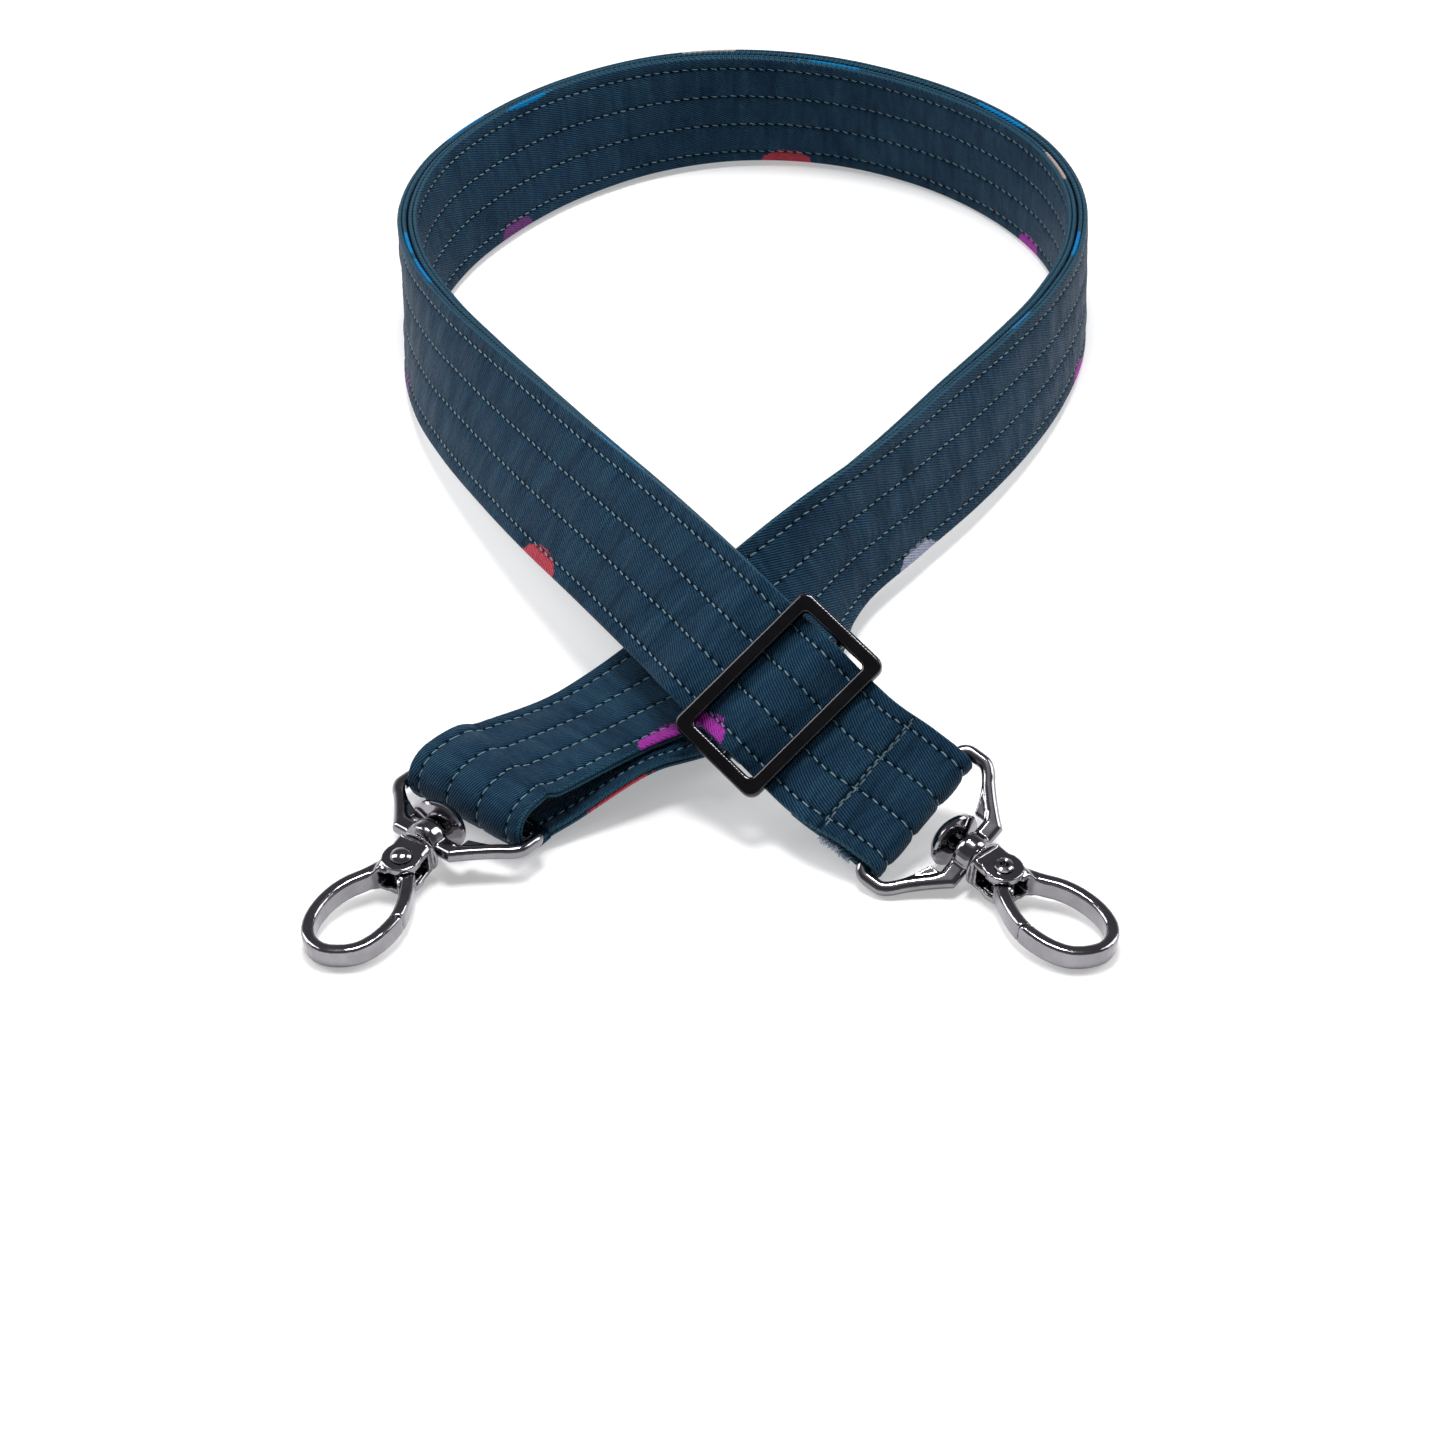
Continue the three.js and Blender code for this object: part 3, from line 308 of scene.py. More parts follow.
def strapPath(cut, hump, length):
    pitch, loop, distance = hump["pitch"], cut["loopRadius"], cut["sliderDistance"]
    fold = cut["ringWire"] / 2 + 2 * cut["clearance"] + hump["thick"] / 2
    low = pitch + cut["tailSpread"]
    (nearTail, nearDepth, nearFold), (farTail, farDepth, farFold) = cut["tailRise"]
    path = [
        (cut["tail"], -low, 0),
        (nearTail * cut["tail"], -nearDepth * low - nearFold * fold, 0),
        (farTail * cut["tail"], -farDepth * pitch - farFold * fold, 0),
    ]
    path += bend(0, -fold, fold, 270, 90)
    path.append((distance - hump["foot"], 0, 0))
    path += humpSide(cut, hump, 0, -1)[::-1] + humpSide(cut, hump, 0, 1)[1:]
    after = distance + hump["foot"]
    path += [(after, 0, 0), (length, 0, 0)]
    path += bend(length, -loop, loop, 90, -90)[1:]
    for along in np.arange(length - 1, after, -1):
        past = length - along
        share = smoothStep(past, 0, cut["loopClose"])
        loose = smoothStep(past, 0, cut["slipStart"]) * (
            1 - smoothStep(past, cut["slipStart"], cut["slipStart"] + cut["slipLength"]))
        height = -2 * loop * (1 - share) - (pitch + cut["runSpread"]) * share
        path.append((along, height - cut["innerSpread"] * loose, -cut["innerSlip"] * loose))
    path += humpSide(cut, hump, pitch, 1)[::-1]
    wrap = hump["radius"] - pitch
    path += bend(distance, hump["centre"], wrap, 90, 270)[1:]
    tail = hump["under"] - 2 * pitch
    path.append((distance + hump["dwell"], min(tail, hump["centre"] - wrap), 0))
    path.append((distance + hump["longBar"] + cut["barWidth"] / 2, tail, 0))
    path.append((distance + cut["barWrapTail"], tail, 0))
    return np.array(path)


def finePath(path, step):
    out = [path[:1]]
    for a, b in zip(path[:-1], path[1:]):
        count = max(1, math.ceil(np.linalg.norm(b - a) / step))
        out.append(a + (b - a) * (np.arange(1, count + 1) / count)[:, None])
    return np.vstack(out)


def softened(values, passes):
    for _ in range(passes):
        middle = (values[:-2] + 2 * values[1:-1] + values[2:]) / 4
        values = np.vstack([values[:1], middle, values[-1:]])
    return values


route = Route(strapCut, routeShares)
hump = sliderHump(strapCut)
path = finePath(strapPath(strapCut, hump, route.length), strapCut["step"])
path = softened(path, strapCut["softening"])
pathPoint, _, strapAcross, pathNormal = route.seated(path[:, 0])
strapMiddle = pathPoint + pathNormal * path[:, 1:2] + strapAcross * path[:, 2:3]
strapWay = unit(np.gradient(strapMiddle, axis=0))
strapOut = unit(np.cross(strapAcross, strapWay))
strapRun = np.concatenate([[0], np.cumsum(np.linalg.norm(np.diff(strapMiddle, axis=0), axis=1))])

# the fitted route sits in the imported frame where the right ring's bar is
foldRadius = strapCut["ringWire"] / 2 + 2 * strapCut["clearance"] + hump["thick"] / 2
rightBar = next(j for j in frame["joints"] if j["name"] == "right_ring_tilt")["pos_m"]
start = route.free(0.0)
strapShift = np.array(rightBar) / mm - (start[0] - start[3] * foldRadius)
strapMiddle = strapMiddle + strapShift
# just before the left fold the outer run lies lower, and the fold stands above it in a crease
sagStart, sagFull, sagEase, sagEnd = strapCut["sagRun"]
sagLeft = 1 - smoothStep(strapRun, sagEase, sagEnd)
sag = strapCut["sag"] * smoothStep(strapRun, sagStart, sagFull) * sagLeft
strapMiddle = strapMiddle - strapOut * sag[:, None]
print("strap route:", round(route.length, 1), "mm,", len(strapMiddle), "stations")
print("strap shift:", strapShift.round(3).tolist(), "mm")


# cloth of the strap

clothCut = {
    "rows": (-15.2, -5.1, 5.1, 15.2),  # stitch rows across the strap
    "stitch": 3.0,
    "firstStitch": 1.2,
    "rowStagger": 0.9,
    "crossRow": 46.6,  # the row across the strap that closes the right fold
    "crossGroove": 0.3,
    "crossWidth": 0.7,
    "groove": 0.42,
    "grooveWidth": 0.75,
    "crown": 0.4,
    "crownReach": 4.5,
    "edgeDrop": 0.25,
    "edge": (17.2, 18.6),
    "insideFrom": (0.3, 2),  # in from the strap's edge
    "pucker": 0.16,
    "puckerAway": 1.3,
    "puckerReach": 1.6,
    "unevenness": 0.3,
    "unevenSpans": (17.0, 6),
    "swell": 0.1,
    "swellSpans": (4.1, 6.7, 31.0),  # along the strap
    "swellTurns": (1.7, 2.9),  # how far each lane's swells are turned against the last lane's
    "swellFrom": (0.4, 3.6),
    "wave": 0.22,
    "waveSpans": (1.55, 13.0, 2.7, 23.0),
    "waveTurns": (2.1, 1.3, 2),
    "longWave": 0.6,
    "waveFrom": (0.4, 3.2),
    "faceHalf": 18.4,
    "faceColumns": 23,
    "rowColumns": (-1.3, -0.65, 0, 0.65, 1.3),  # extra columns beside each row
    "rim": ((19.05, 0.3), (19.0, 0.68), (18.8, 0.98)),  # across and height of the rounded rim
    "back": 18.9,
}


def rowShift(row):
    return clothCut["rowStagger"] * row % clothCut["stitch"]


def faceAcross():
    half = clothCut["faceHalf"]
    columns = [row + beside for row in clothCut["rows"] for beside in clothCut["rowColumns"]]
    return np.unique(np.concatenate([np.linspace(-half, half, clothCut["faceColumns"]), columns]).round(3))


# how far the face stands out from the strap's middle, in millimetres
def faceHeight(run, across, side):
    cut = clothCut
    rows = np.array(cut["rows"])
    near = np.abs(across[..., None] - rows).min(-1)
    height = strapCut["seam"] / 2 + strapCut["ply"] * np.ones(np.broadcast(run, across).shape)
    height = height + cut["crown"] * smoothStep(near, 0, cut["crownReach"])
    height = height - cut["groove"] * np.exp(-(near / cut["grooveWidth"]) ** 2)
    height = height - cut["edgeDrop"] * smoothStep(np.abs(across), *cut["edge"])
    # each stitch draws the cloth up beside its row
    beat = 2 * math.pi * run / cut["stitch"]
    slow, aside = cut["unevenSpans"]
    uneven = 1 - cut["unevenness"] * (1 - np.sin(run / slow + side + across / aside))
    drawn = np.exp(-((near - cut["puckerAway"]) / cut["puckerReach"]) ** 2)
    height = height + cut["pucker"] * np.cos(beat) * drawn * uneven
    if side > 0:
        height = height - cut["crossGroove"] * np.exp(-((run - cut["crossRow"]) / cut["crossWidth"]) ** 2)
    # between the rows lie slow swells and short waves, other ones in each lane
    lane = np.searchsorted(rows, across)
    inside = smoothStep(strapCut["width"] / 2 - np.abs(across), *cut["insideFrom"])
    first, second, third = cut["swellSpans"]
    firstTurn, secondTurn = cut["swellTurns"]
    swell = np.sin(run / first + firstTurn * lane + side)
    swell = swell + np.sin(run / second + secondTurn * lane) * np.sin(run / third + lane)
    height = height + cut["swell"] * (swell - 1) * smoothStep(near, *cut["swellFrom"]) * inside
    short, shortBeat, long, longBeat = cut["waveSpans"]
    shortTurn, longTurn, beatTurn = cut["waveTurns"]
    wave = np.sin(run / short + shortTurn * lane + side) * np.sin(run / shortBeat + lane)
    longWave = np.sin(run / long + longTurn * lane) * np.sin(run / longBeat + beatTurn * lane + side)
    wave = wave + cut["longWave"] * (longWave - 1)
    return height + cut["wave"] * wave * smoothStep(near, *cut["waveFrom"]) * inside


# points of the strap from station numbers, across and height, all arrays of one shape
def clothPoint(index, across, height):
    index = np.clip(index, 0, len(strapMiddle) - 1)
    low = np.minimum(index.astype(int), len(strapMiddle) - 2)
    share = (index - low)[..., None]
    parts = [t[low] * (1 - share) + t[low + 1] * share for t in (strapMiddle, strapAcross, strapOut)]
    return parts[0] + parts[1] * across[..., None] + parts[2] * height[..., None]


# a mesh from a grid of places, rows along and columns round, shaped from one grid primitive
def gridMesh(name, places, layers):
    rows, columns = places.shape[:2]
    bm = bmesh.new()
    bmesh.ops.create_grid(bm, x_segments=columns, y_segments=rows - 1, size=1)
    mesh = bpy.data.meshes.new(name)
    bm.to_mesh(mesh)
    bm.free()
    at = np.zeros(len(mesh.vertices) * 3)
    mesh.vertices.foreach_get("co", at)
    at = at.reshape(-1, 3)
    column = np.rint((at[:, 0] + 1) / 2 * columns).astype(int)
    row = np.rint((at[:, 1] + 1) / 2 * (rows - 1)).astype(int)
    mesh.vertices.foreach_set("co", (places[row, column % columns] * mm).ravel())
    corners = np.zeros(len(mesh.loops), int)
    mesh.loops.foreach_get("vertex_index", corners)
    for layerName, (across, along) in layers.items():
        layer = mesh.uv_layers.new(name=layerName)
        wide = np.concatenate([across, across[:, :1]], 1)
        tall = np.concatenate([along, along[:, :1]], 1)
        uv = np.stack([wide[row[corners], column[corners]], tall[row[corners], column[corners]]], -1)
        layer.data.foreach_set("uv", (uv * mm).ravel())
    return mesh


def closeMesh(mesh, distance=1e-6):
    bm = bmesh.new()
    bm.from_mesh(mesh)
    bmesh.ops.remove_doubles(bm, verts=bm.verts, dist=distance)
    rims = [edge for edge in bm.edges if edge.is_boundary]
    if rims:
        bmesh.ops.holes_fill(bm, edges=rims, sides=0)
    bmesh.ops.recalc_face_normals(bm, faces=bm.faces)
    bm.to_mesh(mesh)
    bm.free()
    for polygon in mesh.polygons:
        polygon.use_smooth = True
    return mesh


def joinedMesh(name, parts):
    bm = bmesh.new()
    for part in parts:
        bm.from_mesh(part)
        bpy.data.meshes.remove(part)
    mesh = bpy.data.meshes.new(name)
    bm.to_mesh(mesh)
    bm.free()
    return closeMesh(mesh)


def addPiece(mesh, material, body, slot, *nodes):
    piece = bpy.data.objects.new(mesh.name, mesh)
    scene.collection.objects.link(piece)
    mesh.materials.clear()
    mesh.materials.append(material)
    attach(piece, body)
    if nodes:
        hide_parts(*nodes)
    return piece


def plyGrid(side):
    seam = strapCut["seam"] / 2
    face = faceAcross()
    back, rim = clothCut["back"], clothCut["rim"]
    ring = [-back, back] + [w for w, _ in rim] + list(face[::-1]) + [-w for w, _ in rim[::-1]]
    run = strapRun[:, None]
    across = np.broadcast_to(np.array(ring), (len(strapRun), len(ring))).copy()
    height = np.full(across.shape, seam)
    for k, (_, rise) in enumerate(rim):
        height[:, 2 + k] = seam + rise
        height[:, len(ring) - 1 - k] = seam + rise
    inner = slice(2 + len(rim), 2 + len(rim) + len(face))
    height[:, inner] = faceHeight(run, across[:, inner], side)
    index = np.broadcast_to(np.arange(len(strapRun), dtype=float)[:, None], across.shape)
    places = clothPoint(index, across, side * height)
    return places, across, np.broadcast_to(run, across.shape)


# printed dots that the cut cloth shows along its edges
dotInks = {
    "blue": (0.003, 0.17, 0.42),
    "pale": (0.36, 0.3, 0.29),
    "lilac": (0.42, 0.44, 0.58),
    "coral": (0.55, 0.065, 0.09),
    "magenta": (0.4, 0.04, 0.38),
    # the magenta ink darkened: painted shade on dots that lie in shadow
    "shadedMagenta": (0.18, 0.05, 0.2),
    "sky": (0.02, 0.14, 0.3),
}
# a face's dots: run along the strap, across, half length, half width, ink
dotCut = {
    1: [
        (374, 19.2, 8, 1.3, "blue"), (1447, 19.2, 8, 1.4, "blue"), (461, 19.2, 8, 1.8, "pale"),
        (1462, -19.4, 7.5, 5, "shadedMagenta"), (1361, -19.6, 8.5, 5, "coral"), (1268, -19.5, 6, 5.5, "magenta"),
        (173, -20.3, 9, 6.2, "coral"), (285, -19.5, 8, 4, "shadedMagenta"), (761, -20, 8.8, 5.2, "lilac"),
        (654, -19.5, 7.5, 4, "magenta"), (868, -19, 10.7, 4.6, "magenta"),
        (84.5, -19.5, 6.2, 5.6, "magenta"), (964, -19.2, 9, 1.5, "coral"),
    ],
    -1: [
        (303, 19.2, 6.5, 1.3, "blue"), (285, 19.2, 7.5, 1.3, "blue"), (1347, 19.2, 10, 1.3, "blue"),
        (563, 19.2, 10, 1.3, "blue"), (644, 19.2, 7, 1.3, "blue"), (169, 19.2, 10.5, 1.5, "blue"),
        (691, 19.2, 6, 1.0, "sky"), (1253, 19.2, 7.5, 1.3, "pale"),
    ],
}


dotless = 5.0  # the distance that a vertex keeps where no dot is near, in millimetres


# each vertex keeps how far it lies from the nearest dot's rim, and that dot's ink
def paintDots(mesh, side):
    edge = mesh.attributes.new("dotRim", "FLOAT", "POINT")
    tint = mesh.attributes.new("dotTint", "FLOAT_COLOR", "POINT")
    corners = np.zeros(len(mesh.loops), int)
    mesh.loops.foreach_get("vertex_index", corners)
    uv = np.zeros(len(mesh.loops) * 2)
    mesh.uv_layers["strapMap"].data.foreach_get("uv", uv)
    uv = uv.reshape(-1, 2) / mm
    across = np.zeros(len(mesh.vertices))
    run = np.zeros(len(mesh.vertices))
    across[corners], run[corners] = uv[:, 0], uv[:, 1]
    rim = np.full(len(across), dotless)
    colour = np.ones((len(across), 4))
    for dotRun, dotAcross, halfRun, halfAcross, ink in dotCut[side]:
        ring = np.hypot((run - dotRun) / halfRun, (across - dotAcross) / halfAcross)
        distance = (ring - 1) * min(halfRun, halfAcross)
        closer = distance < rim
        rim = np.where(closer, distance, rim)
        colour[closer, :3] = dotInks[ink]
    edge.data.foreach_set("value", rim)
    tint.data.foreach_set("color", colour.ravel())


# how far from a row and from a needle hole the painted shade and the pull reach, in millimetres
holeCut = {
    "row": (0.1, 1.1),
    "hole": (0.2, 0.6),
    "holeAlong": (0.15, 0.6),
    "pull": (0.4, 3.6),
    "pullAlong": (0, 1.3),
}


# the painted shade along the rows and in their needle holes, and how far the thread draws the cloth together
def stitchHoles(tree, across, along):
    stitch = clothCut["stitch"]
    rowShade, holeShade, drawn = 0.0, 0.0, 0.0
    for row in clothCut["rows"]:
        away = maths(tree, "ABSOLUTE", maths(tree, "SUBTRACT", across, row))
        past = maths(tree, "SUBTRACT", along, clothCut["firstStitch"] + rowShift(row))
        turn = maths(tree, "FRACT", maths(tree, "DIVIDE", past, stitch))
        fromHole = maths(tree, "MULTIPLY", maths(tree, "PINGPONG", turn, 0.5), stitch)
        beside = ramp(tree, away, *holeCut["hole"], 1, 0)
        hole = maths(tree, "MULTIPLY", beside, ramp(tree, fromHole, *holeCut["holeAlong"], 1, 0))
        holeShade = maths(tree, "MAXIMUM", holeShade, hole)
        rowShade = maths(tree, "MAXIMUM", rowShade, ramp(tree, away, *holeCut["row"], 1, 0))
        near = ramp(tree, away, *holeCut["pull"], 1, 0)
        pull = maths(tree, "MULTIPLY", near, ramp(tree, fromHole, *holeCut["pullAlong"], 1, 0))
        drawn = maths(tree, "MAXIMUM", drawn, pull)
    return rowShade, holeShade, drawn


def wavesAlong(tree, value, span):
    return maths(tree, "SINE", maths(tree, "MULTIPLY", value, 2 * math.pi / span))


def twillMaterial(name, cut):
    material, tree, shader = newMaterial(name)
    place = addNode(tree, "ShaderNodeUVMap", uv_map="strapMap").outputs["UV"]
    apart = addNode(tree, "ShaderNodeSeparateXYZ")
    tree.links.new(place, apart.inputs[0])
    across = maths(tree, "MULTIPLY", apart.outputs[0], 1 / mm)
    along = maths(tree, "MULTIPLY", apart.outputs[1], 1 / mm)
    uneven = noise(tree, place, cut["uneven"], 3)
    broad = noise(tree, place, cut["broad"], 3)
    # the ribs run slantwise, and the picks lie across them
    diagonal = maths(tree, "ADD", across, maths(tree, "MULTIPLY", along, cut["slope"]))
    diagonal = maths(tree, "ADD", diagonal, maths(tree, "MULTIPLY", uneven, cut["waver"]))
    twill = wavesAlong(tree, diagonal, cut["pitch"])
    fine = wavesAlong(tree, along, cut["pick"])
    rowShade, holeShade, drawn = stitchHoles(tree, across, along)
    # small creases run across the cloth; in patches of them the colour is mixed towards a painted highlight
    # colour or towards the painted valley shade
    creased = addNode(tree, "ShaderNodeMapping")
    creased.inputs["Scale"].default_value = (cut["creaseStretch"], 1, 1)
    tree.links.new(place, creased.inputs["Vector"])
    creases = noise(tree, creased.outputs["Vector"], cut["creases"], 3, 0.6)
    patches = noise(tree, creased.outputs["Vector"], cut["patches"], 2, 0.6)
    highlightAndShadePatches = maths(tree, "ADD", creases, patches)
    lit = maths(tree, "MULTIPLY", ramp(tree, highlightAndShadePatches, *cut["litFrom"]), cut["lit"])
    dim = maths(tree, "MULTIPLY", ramp(tree, highlightAndShadePatches, *cut["dimFrom"]), cut["dim"])
    # the ribs are coloured from the dark valley colour up to the ridge colour: painted shade between the ribs
    weave = maths(tree, "ADD", twill, maths(tree, "MULTIPLY", fine, cut["pickShare"]))
    shade = ramp(tree, weave, *cut["shadeFrom"], smooth=False)
    base = mixColour(tree, shade, cut["shadedValley"], mixColour(tree, lit, cut["ridge"], cut["satinHighlight"]))
    base = mixColour(tree, dim, base, cut["shadedValley"])
    wear = maths(tree, "MULTIPLY", ramp(tree, broad, *cut["wearFrom"]), cut["wear"])
    base = mixColour(tree, wear, base, cut["worn"])
    # printed dots, with a rim that follows the yarns, and painted shade in the rib valleys
    rimNode = addNode(tree, "ShaderNodeAttribute", attribute_name="dotRim")
    tint = addNode(tree, "ShaderNodeAttribute", attribute_name="dotTint").outputs["Color"]
    wobble = maths(tree, "SUBTRACT", noise(tree, place, cut["wobbleScale"], 3), 0.5)
    wobble = maths(tree, "MULTIPLY", wobble, cut["wobble"])
    inside = ramp(tree, maths(tree, "ADD", rimNode.outputs["Fac"], wobble), *cut["inkRim"], 1, 0)
    between = maths(tree, "MULTIPLY", maths(tree, "SUBTRACT", 1.0, shade), cut["inkValleys"])
    base = mixColour(tree, inside, base, mixColour(tree, between, tint, cut["shadedValley"]))
    # painted shade in the rows' grooves and in the needle holes
    base = mixColour(tree, maths(tree, "MULTIPLY", rowShade, cut["rowShade"]), base, cut["shadedValley"])
    base = mixColour(tree, maths(tree, "MULTIPLY", holeShade, cut["holeShade"]), base, cut["hole"])
    # a painted shadow along the groove beside the row across the strap
    if cut["crossRow"]:
        fromCross = maths(tree, "ABSOLUTE", maths(tree, "SUBTRACT", along, cut["crossRow"]))
        crossRowShade = ramp(tree, fromCross, *cut["crossReach"], cut["crossRowShade"], 0)
        base = mixColour(tree, crossRowShade, base, cut["hole"])
    # the strap's narrow edge shows the yarns' ends, with painted shade between them
    weft = wavesAlong(tree, along, cut["weft"])
    selvage = mixColour(tree, ramp(tree, weft, *cut["weftFrom"], cut["weftLeast"]), cut["shadedValley"], cut["rim"])
    selvage = mixColour(tree, inside, selvage, tint)
    fromMiddle = maths(tree, "ABSOLUTE", across)
    base = mixColour(tree, ramp(tree, fromMiddle, *cut["selvage"]), base, selvage)
    tree.links.new(base, shader.inputs["Base Color"])
    rough = ramp(tree, uneven, *cut["glossFrom"], *cut["gloss"], False)
    tree.links.new(rough, shader.inputs["Roughness"])
    shader.inputs["Specular IOR Level"].default_value = cut["specular"]
    shader.inputs["Specular Tint"].default_value = (*cut["shine"], 1)
    shader.inputs["Sheen Weight"].default_value = cut["sheen"]
    shader.inputs["Sheen Roughness"].default_value = cut["sheenSpread"]
    shader.inputs["Sheen Tint"].default_value = (*cut["sheenTint"], 1)
    gathered = maths(tree, "SUBTRACT", creases, maths(tree, "MULTIPLY", drawn, cut["gather"]))
    puckers = bumped(tree, gathered, 1, cut["puckers"])
    ridges = maths(tree, "MULTIPLY", twill, cut["ridgeRelief"])
    relief = maths(tree, "ADD", ridges, maths(tree, "MULTIPLY", fine, cut["pickRelief"]))
    # the hole mask of the painted shade also sinks the holes in the relief
    relief = maths(tree, "SUBTRACT", relief, maths(tree, "MULTIPLY", holeShade, cut["holeDepth"]))
    tree.links.new(bumped(tree, relief, 1, cut["ribs"], puckers), shader.inputs["Normal"])
    return material


yarnCut = {
    "speck": 1800,
    "darker": 0.6,
    "darkerFrom": (0.3, 0.7),
    "gloss": (0.45, 0.7),
    "glossFrom": (0.2, 0.8),
    "sheen": 0.2,
    "relief": 0.4,
    "reliefDepth": 0.00008,
}


def threadMaterial(name, colour):
    cut = yarnCut
    material, tree, shader = newMaterial(name)
    place = addNode(tree, "ShaderNodeTexCoord").outputs["Object"]
    speck = noise(tree, place, cut["speck"], 2)
    darker = tuple(c * cut["darker"] for c in colour)
    base = mixColour(tree, ramp(tree, speck, *cut["darkerFrom"]), darker, colour)
    tree.links.new(base, shader.inputs["Base Color"])
    tree.links.new(ramp(tree, speck, *cut["glossFrom"], *cut["gloss"], False), shader.inputs["Roughness"])
    shader.inputs["Sheen Weight"].default_value = cut["sheen"]
    tree.links.new(bumped(tree, speck, cut["relief"], cut["reliefDepth"]), shader.inputs["Normal"])
    return material


twillCut = {
    # painted shade colour of the rib valleys, also used for the dim patches, the rows and the selvage stripes
    "shadedValley": (0.0018, 0.009, 0.022),
    "ridge": (0.02, 0.06, 0.11),
    # painted highlight colour of the lit patches
    "satinHighlight": (0.045, 0.128, 0.2),
    "lit": 0.45,
    "litFrom": (0.95, 1.3),
    "dim": 0.45,
    "dimFrom": (0.98, 0.72),
    "worn": (0.018, 0.05, 0.088),
    "wear": 0.15,
    "wearFrom": (0.4, 0.7),
    "rim": (0.028, 0.085, 0.13),
    # near-black colour of the painted shade in the needle holes and along the cross row's groove
    "hole": (0.001, 0.003, 0.006),
    "rowShade": 0.45,
    "holeShade": 0.8,
    "holeDepth": 1.5,
    "inkValleys": 0.4,
    "inkRim": (-0.1, 0.1),
    "wobble": 2.2,
    "wobbleScale": 700,
    "uneven": 900,
    "broad": 45,
    "creases": 420,
    "patches": 130,
    "creaseStretch": 0.22,
    "slope": -0.45,
    "pitch": 0.747,  # between the twill's ridges, across the strap
    "pick": 0.31,
    "pickShare": 0.25,
    "shadeFrom": (-1.1, 1.1),
    "ridgeRelief": 0.5,
    "pickRelief": 0.2,
    "weft": 0.7,
    "weftFrom": (-1.4, 1),
    "weftLeast": 0.25,
    "selvage": (18.55, 18.75),
    "waver": 0.35,
    "gloss": (0.32, 0.5),
    "glossFrom": (0.2, 0.8),
    "specular": 0.07,
    "shine": (0.25, 0.62, 0.95),
    "sheen": 0.01,
    "sheenSpread": 0.4,
    "sheenTint": (0.5, 0.75, 0.9),
    "ribs": 0.00022,
    "puckers": 0.0006,
    "gather": 0.6,
    "crossRow": 0,
    "crossReach": (0.25, 0.9),
    "crossRowShade": 0.8,
}
outerTwill = twillMaterial("outerTwill", {**twillCut, "crossRow": clothCut["crossRow"]})
innerTwill = twillMaterial("innerTwill", twillCut)
sewingThread = threadMaterial("sewingThread", (0.13, 0.24, 0.3))
# the thread across the strap is the sewing thread darkened: painted shade of the groove it lies in
shadedCrossSewing = threadMaterial("shadedCrossSewing", (0.045, 0.105, 0.14))


def makePly(side, name, material, node):
    places, across, run = plyGrid(side)
    mesh = gridMesh(name, places, {"strapMap": (across, run)})
    closeMesh(mesh)
    paintDots(mesh, side)
    return addPiece(mesh, material, "strap", "twill", node)


makePly(1, "outerPly", outerTwill, "strap_outer_ply")
makePly(-1, "innerPly", innerTwill, "strap_inner_ply")
print("strap plies made")


# the sewing thread dips into the cloth at each hole, and each stitch is a row of beads

threadCut = {
    "radius": 0.22,
    "sides": 6,
    "flat": 0.8,
    "slant": 0.5,
    "end": 3,
    "wander": 0.12,
    "wanderSpan": 9,
    "shiver": 0.06,
    "shiverSpan": 2.3,
    # of each bead: its place in the stitch, its share of the radius, its height over the cloth
    "beads": (
        (0.0, 0.25, -0.4), (0.2, 0.8, -0.08), (0.4, 1.0, 0.08), (0.62, 1.0, 0.08), (0.82, 0.8, -0.08),
    ),
}
crossCut = {
    "run": clothCut["crossRow"] - 0.5,
    "ends": 17.6,
    "back": 0.55,  # a second pass of the needle beside the first
    "stitch": 0.9 * clothCut["stitch"],
    "offset": 0.4,
    "fatter": 1.15,
    "lift": 0.05,
    "wander": 0.2,
    "wanderSpan": 2.3,
}


def beadTurns(stitches):
    beads = threadCut["beads"]
    return np.repeat(np.arange(stitches), len(beads)) + np.tile([bead[0] for bead in beads], stitches)


# places round one row of stitches, whose run and across have one value for each bead
def threadGrid(run, across, side, crosswise=False):
    beads = np.array(threadCut["beads"])
    turn, share, lift = beads[np.arange(len(run)) % len(beads)].T
    thick = share * threadCut["radius"]
    if crosswise:
        thick, lift = thick * crossCut["fatter"], lift + crossCut["lift"]
    else:
        across = across + (turn - 0.5) * threadCut["slant"]
    angles = np.arange(threadCut["sides"]) * 2 * math.pi / threadCut["sides"]
    beside = thick[:, None] * np.cos(angles)
    rise = threadCut["flat"] * thick[:, None] * np.sin(angles)
    tall = (faceHeight(run, across, side) + lift)[:, None] + rise
    numbers = np.arange(len(strapRun))
    if crosswise:
        stations = np.interp(run[:, None] + beside, strapRun, numbers)
        wide = np.broadcast_to(across[:, None], beside.shape)
    else:
        stations = np.broadcast_to(np.interp(run, strapRun, numbers)[:, None], beside.shape)
        wide = across[:, None] + beside
    return clothPoint(stations, wide, side * tall)


def lengthwiseThread(side, name):
    parts = []
    for row in clothCut["rows"]:
        stitches = int((strapRun[-1] - threadCut["end"] - rowShift(row)) / clothCut["stitch"])
        run = clothCut["firstStitch"] + rowShift(row) + beadTurns(stitches) * clothCut["stitch"]
        wander = threadCut["wander"] * np.sin(run / threadCut["wanderSpan"] + row)
        wander = wander + threadCut["shiver"] * np.sin(run / threadCut["shiverSpan"])
        parts.append(gridMesh(name, threadGrid(run, row + wander, side), {}))
    return addPiece(joinedMesh(name, parts), sewingThread, "strap", "twill")


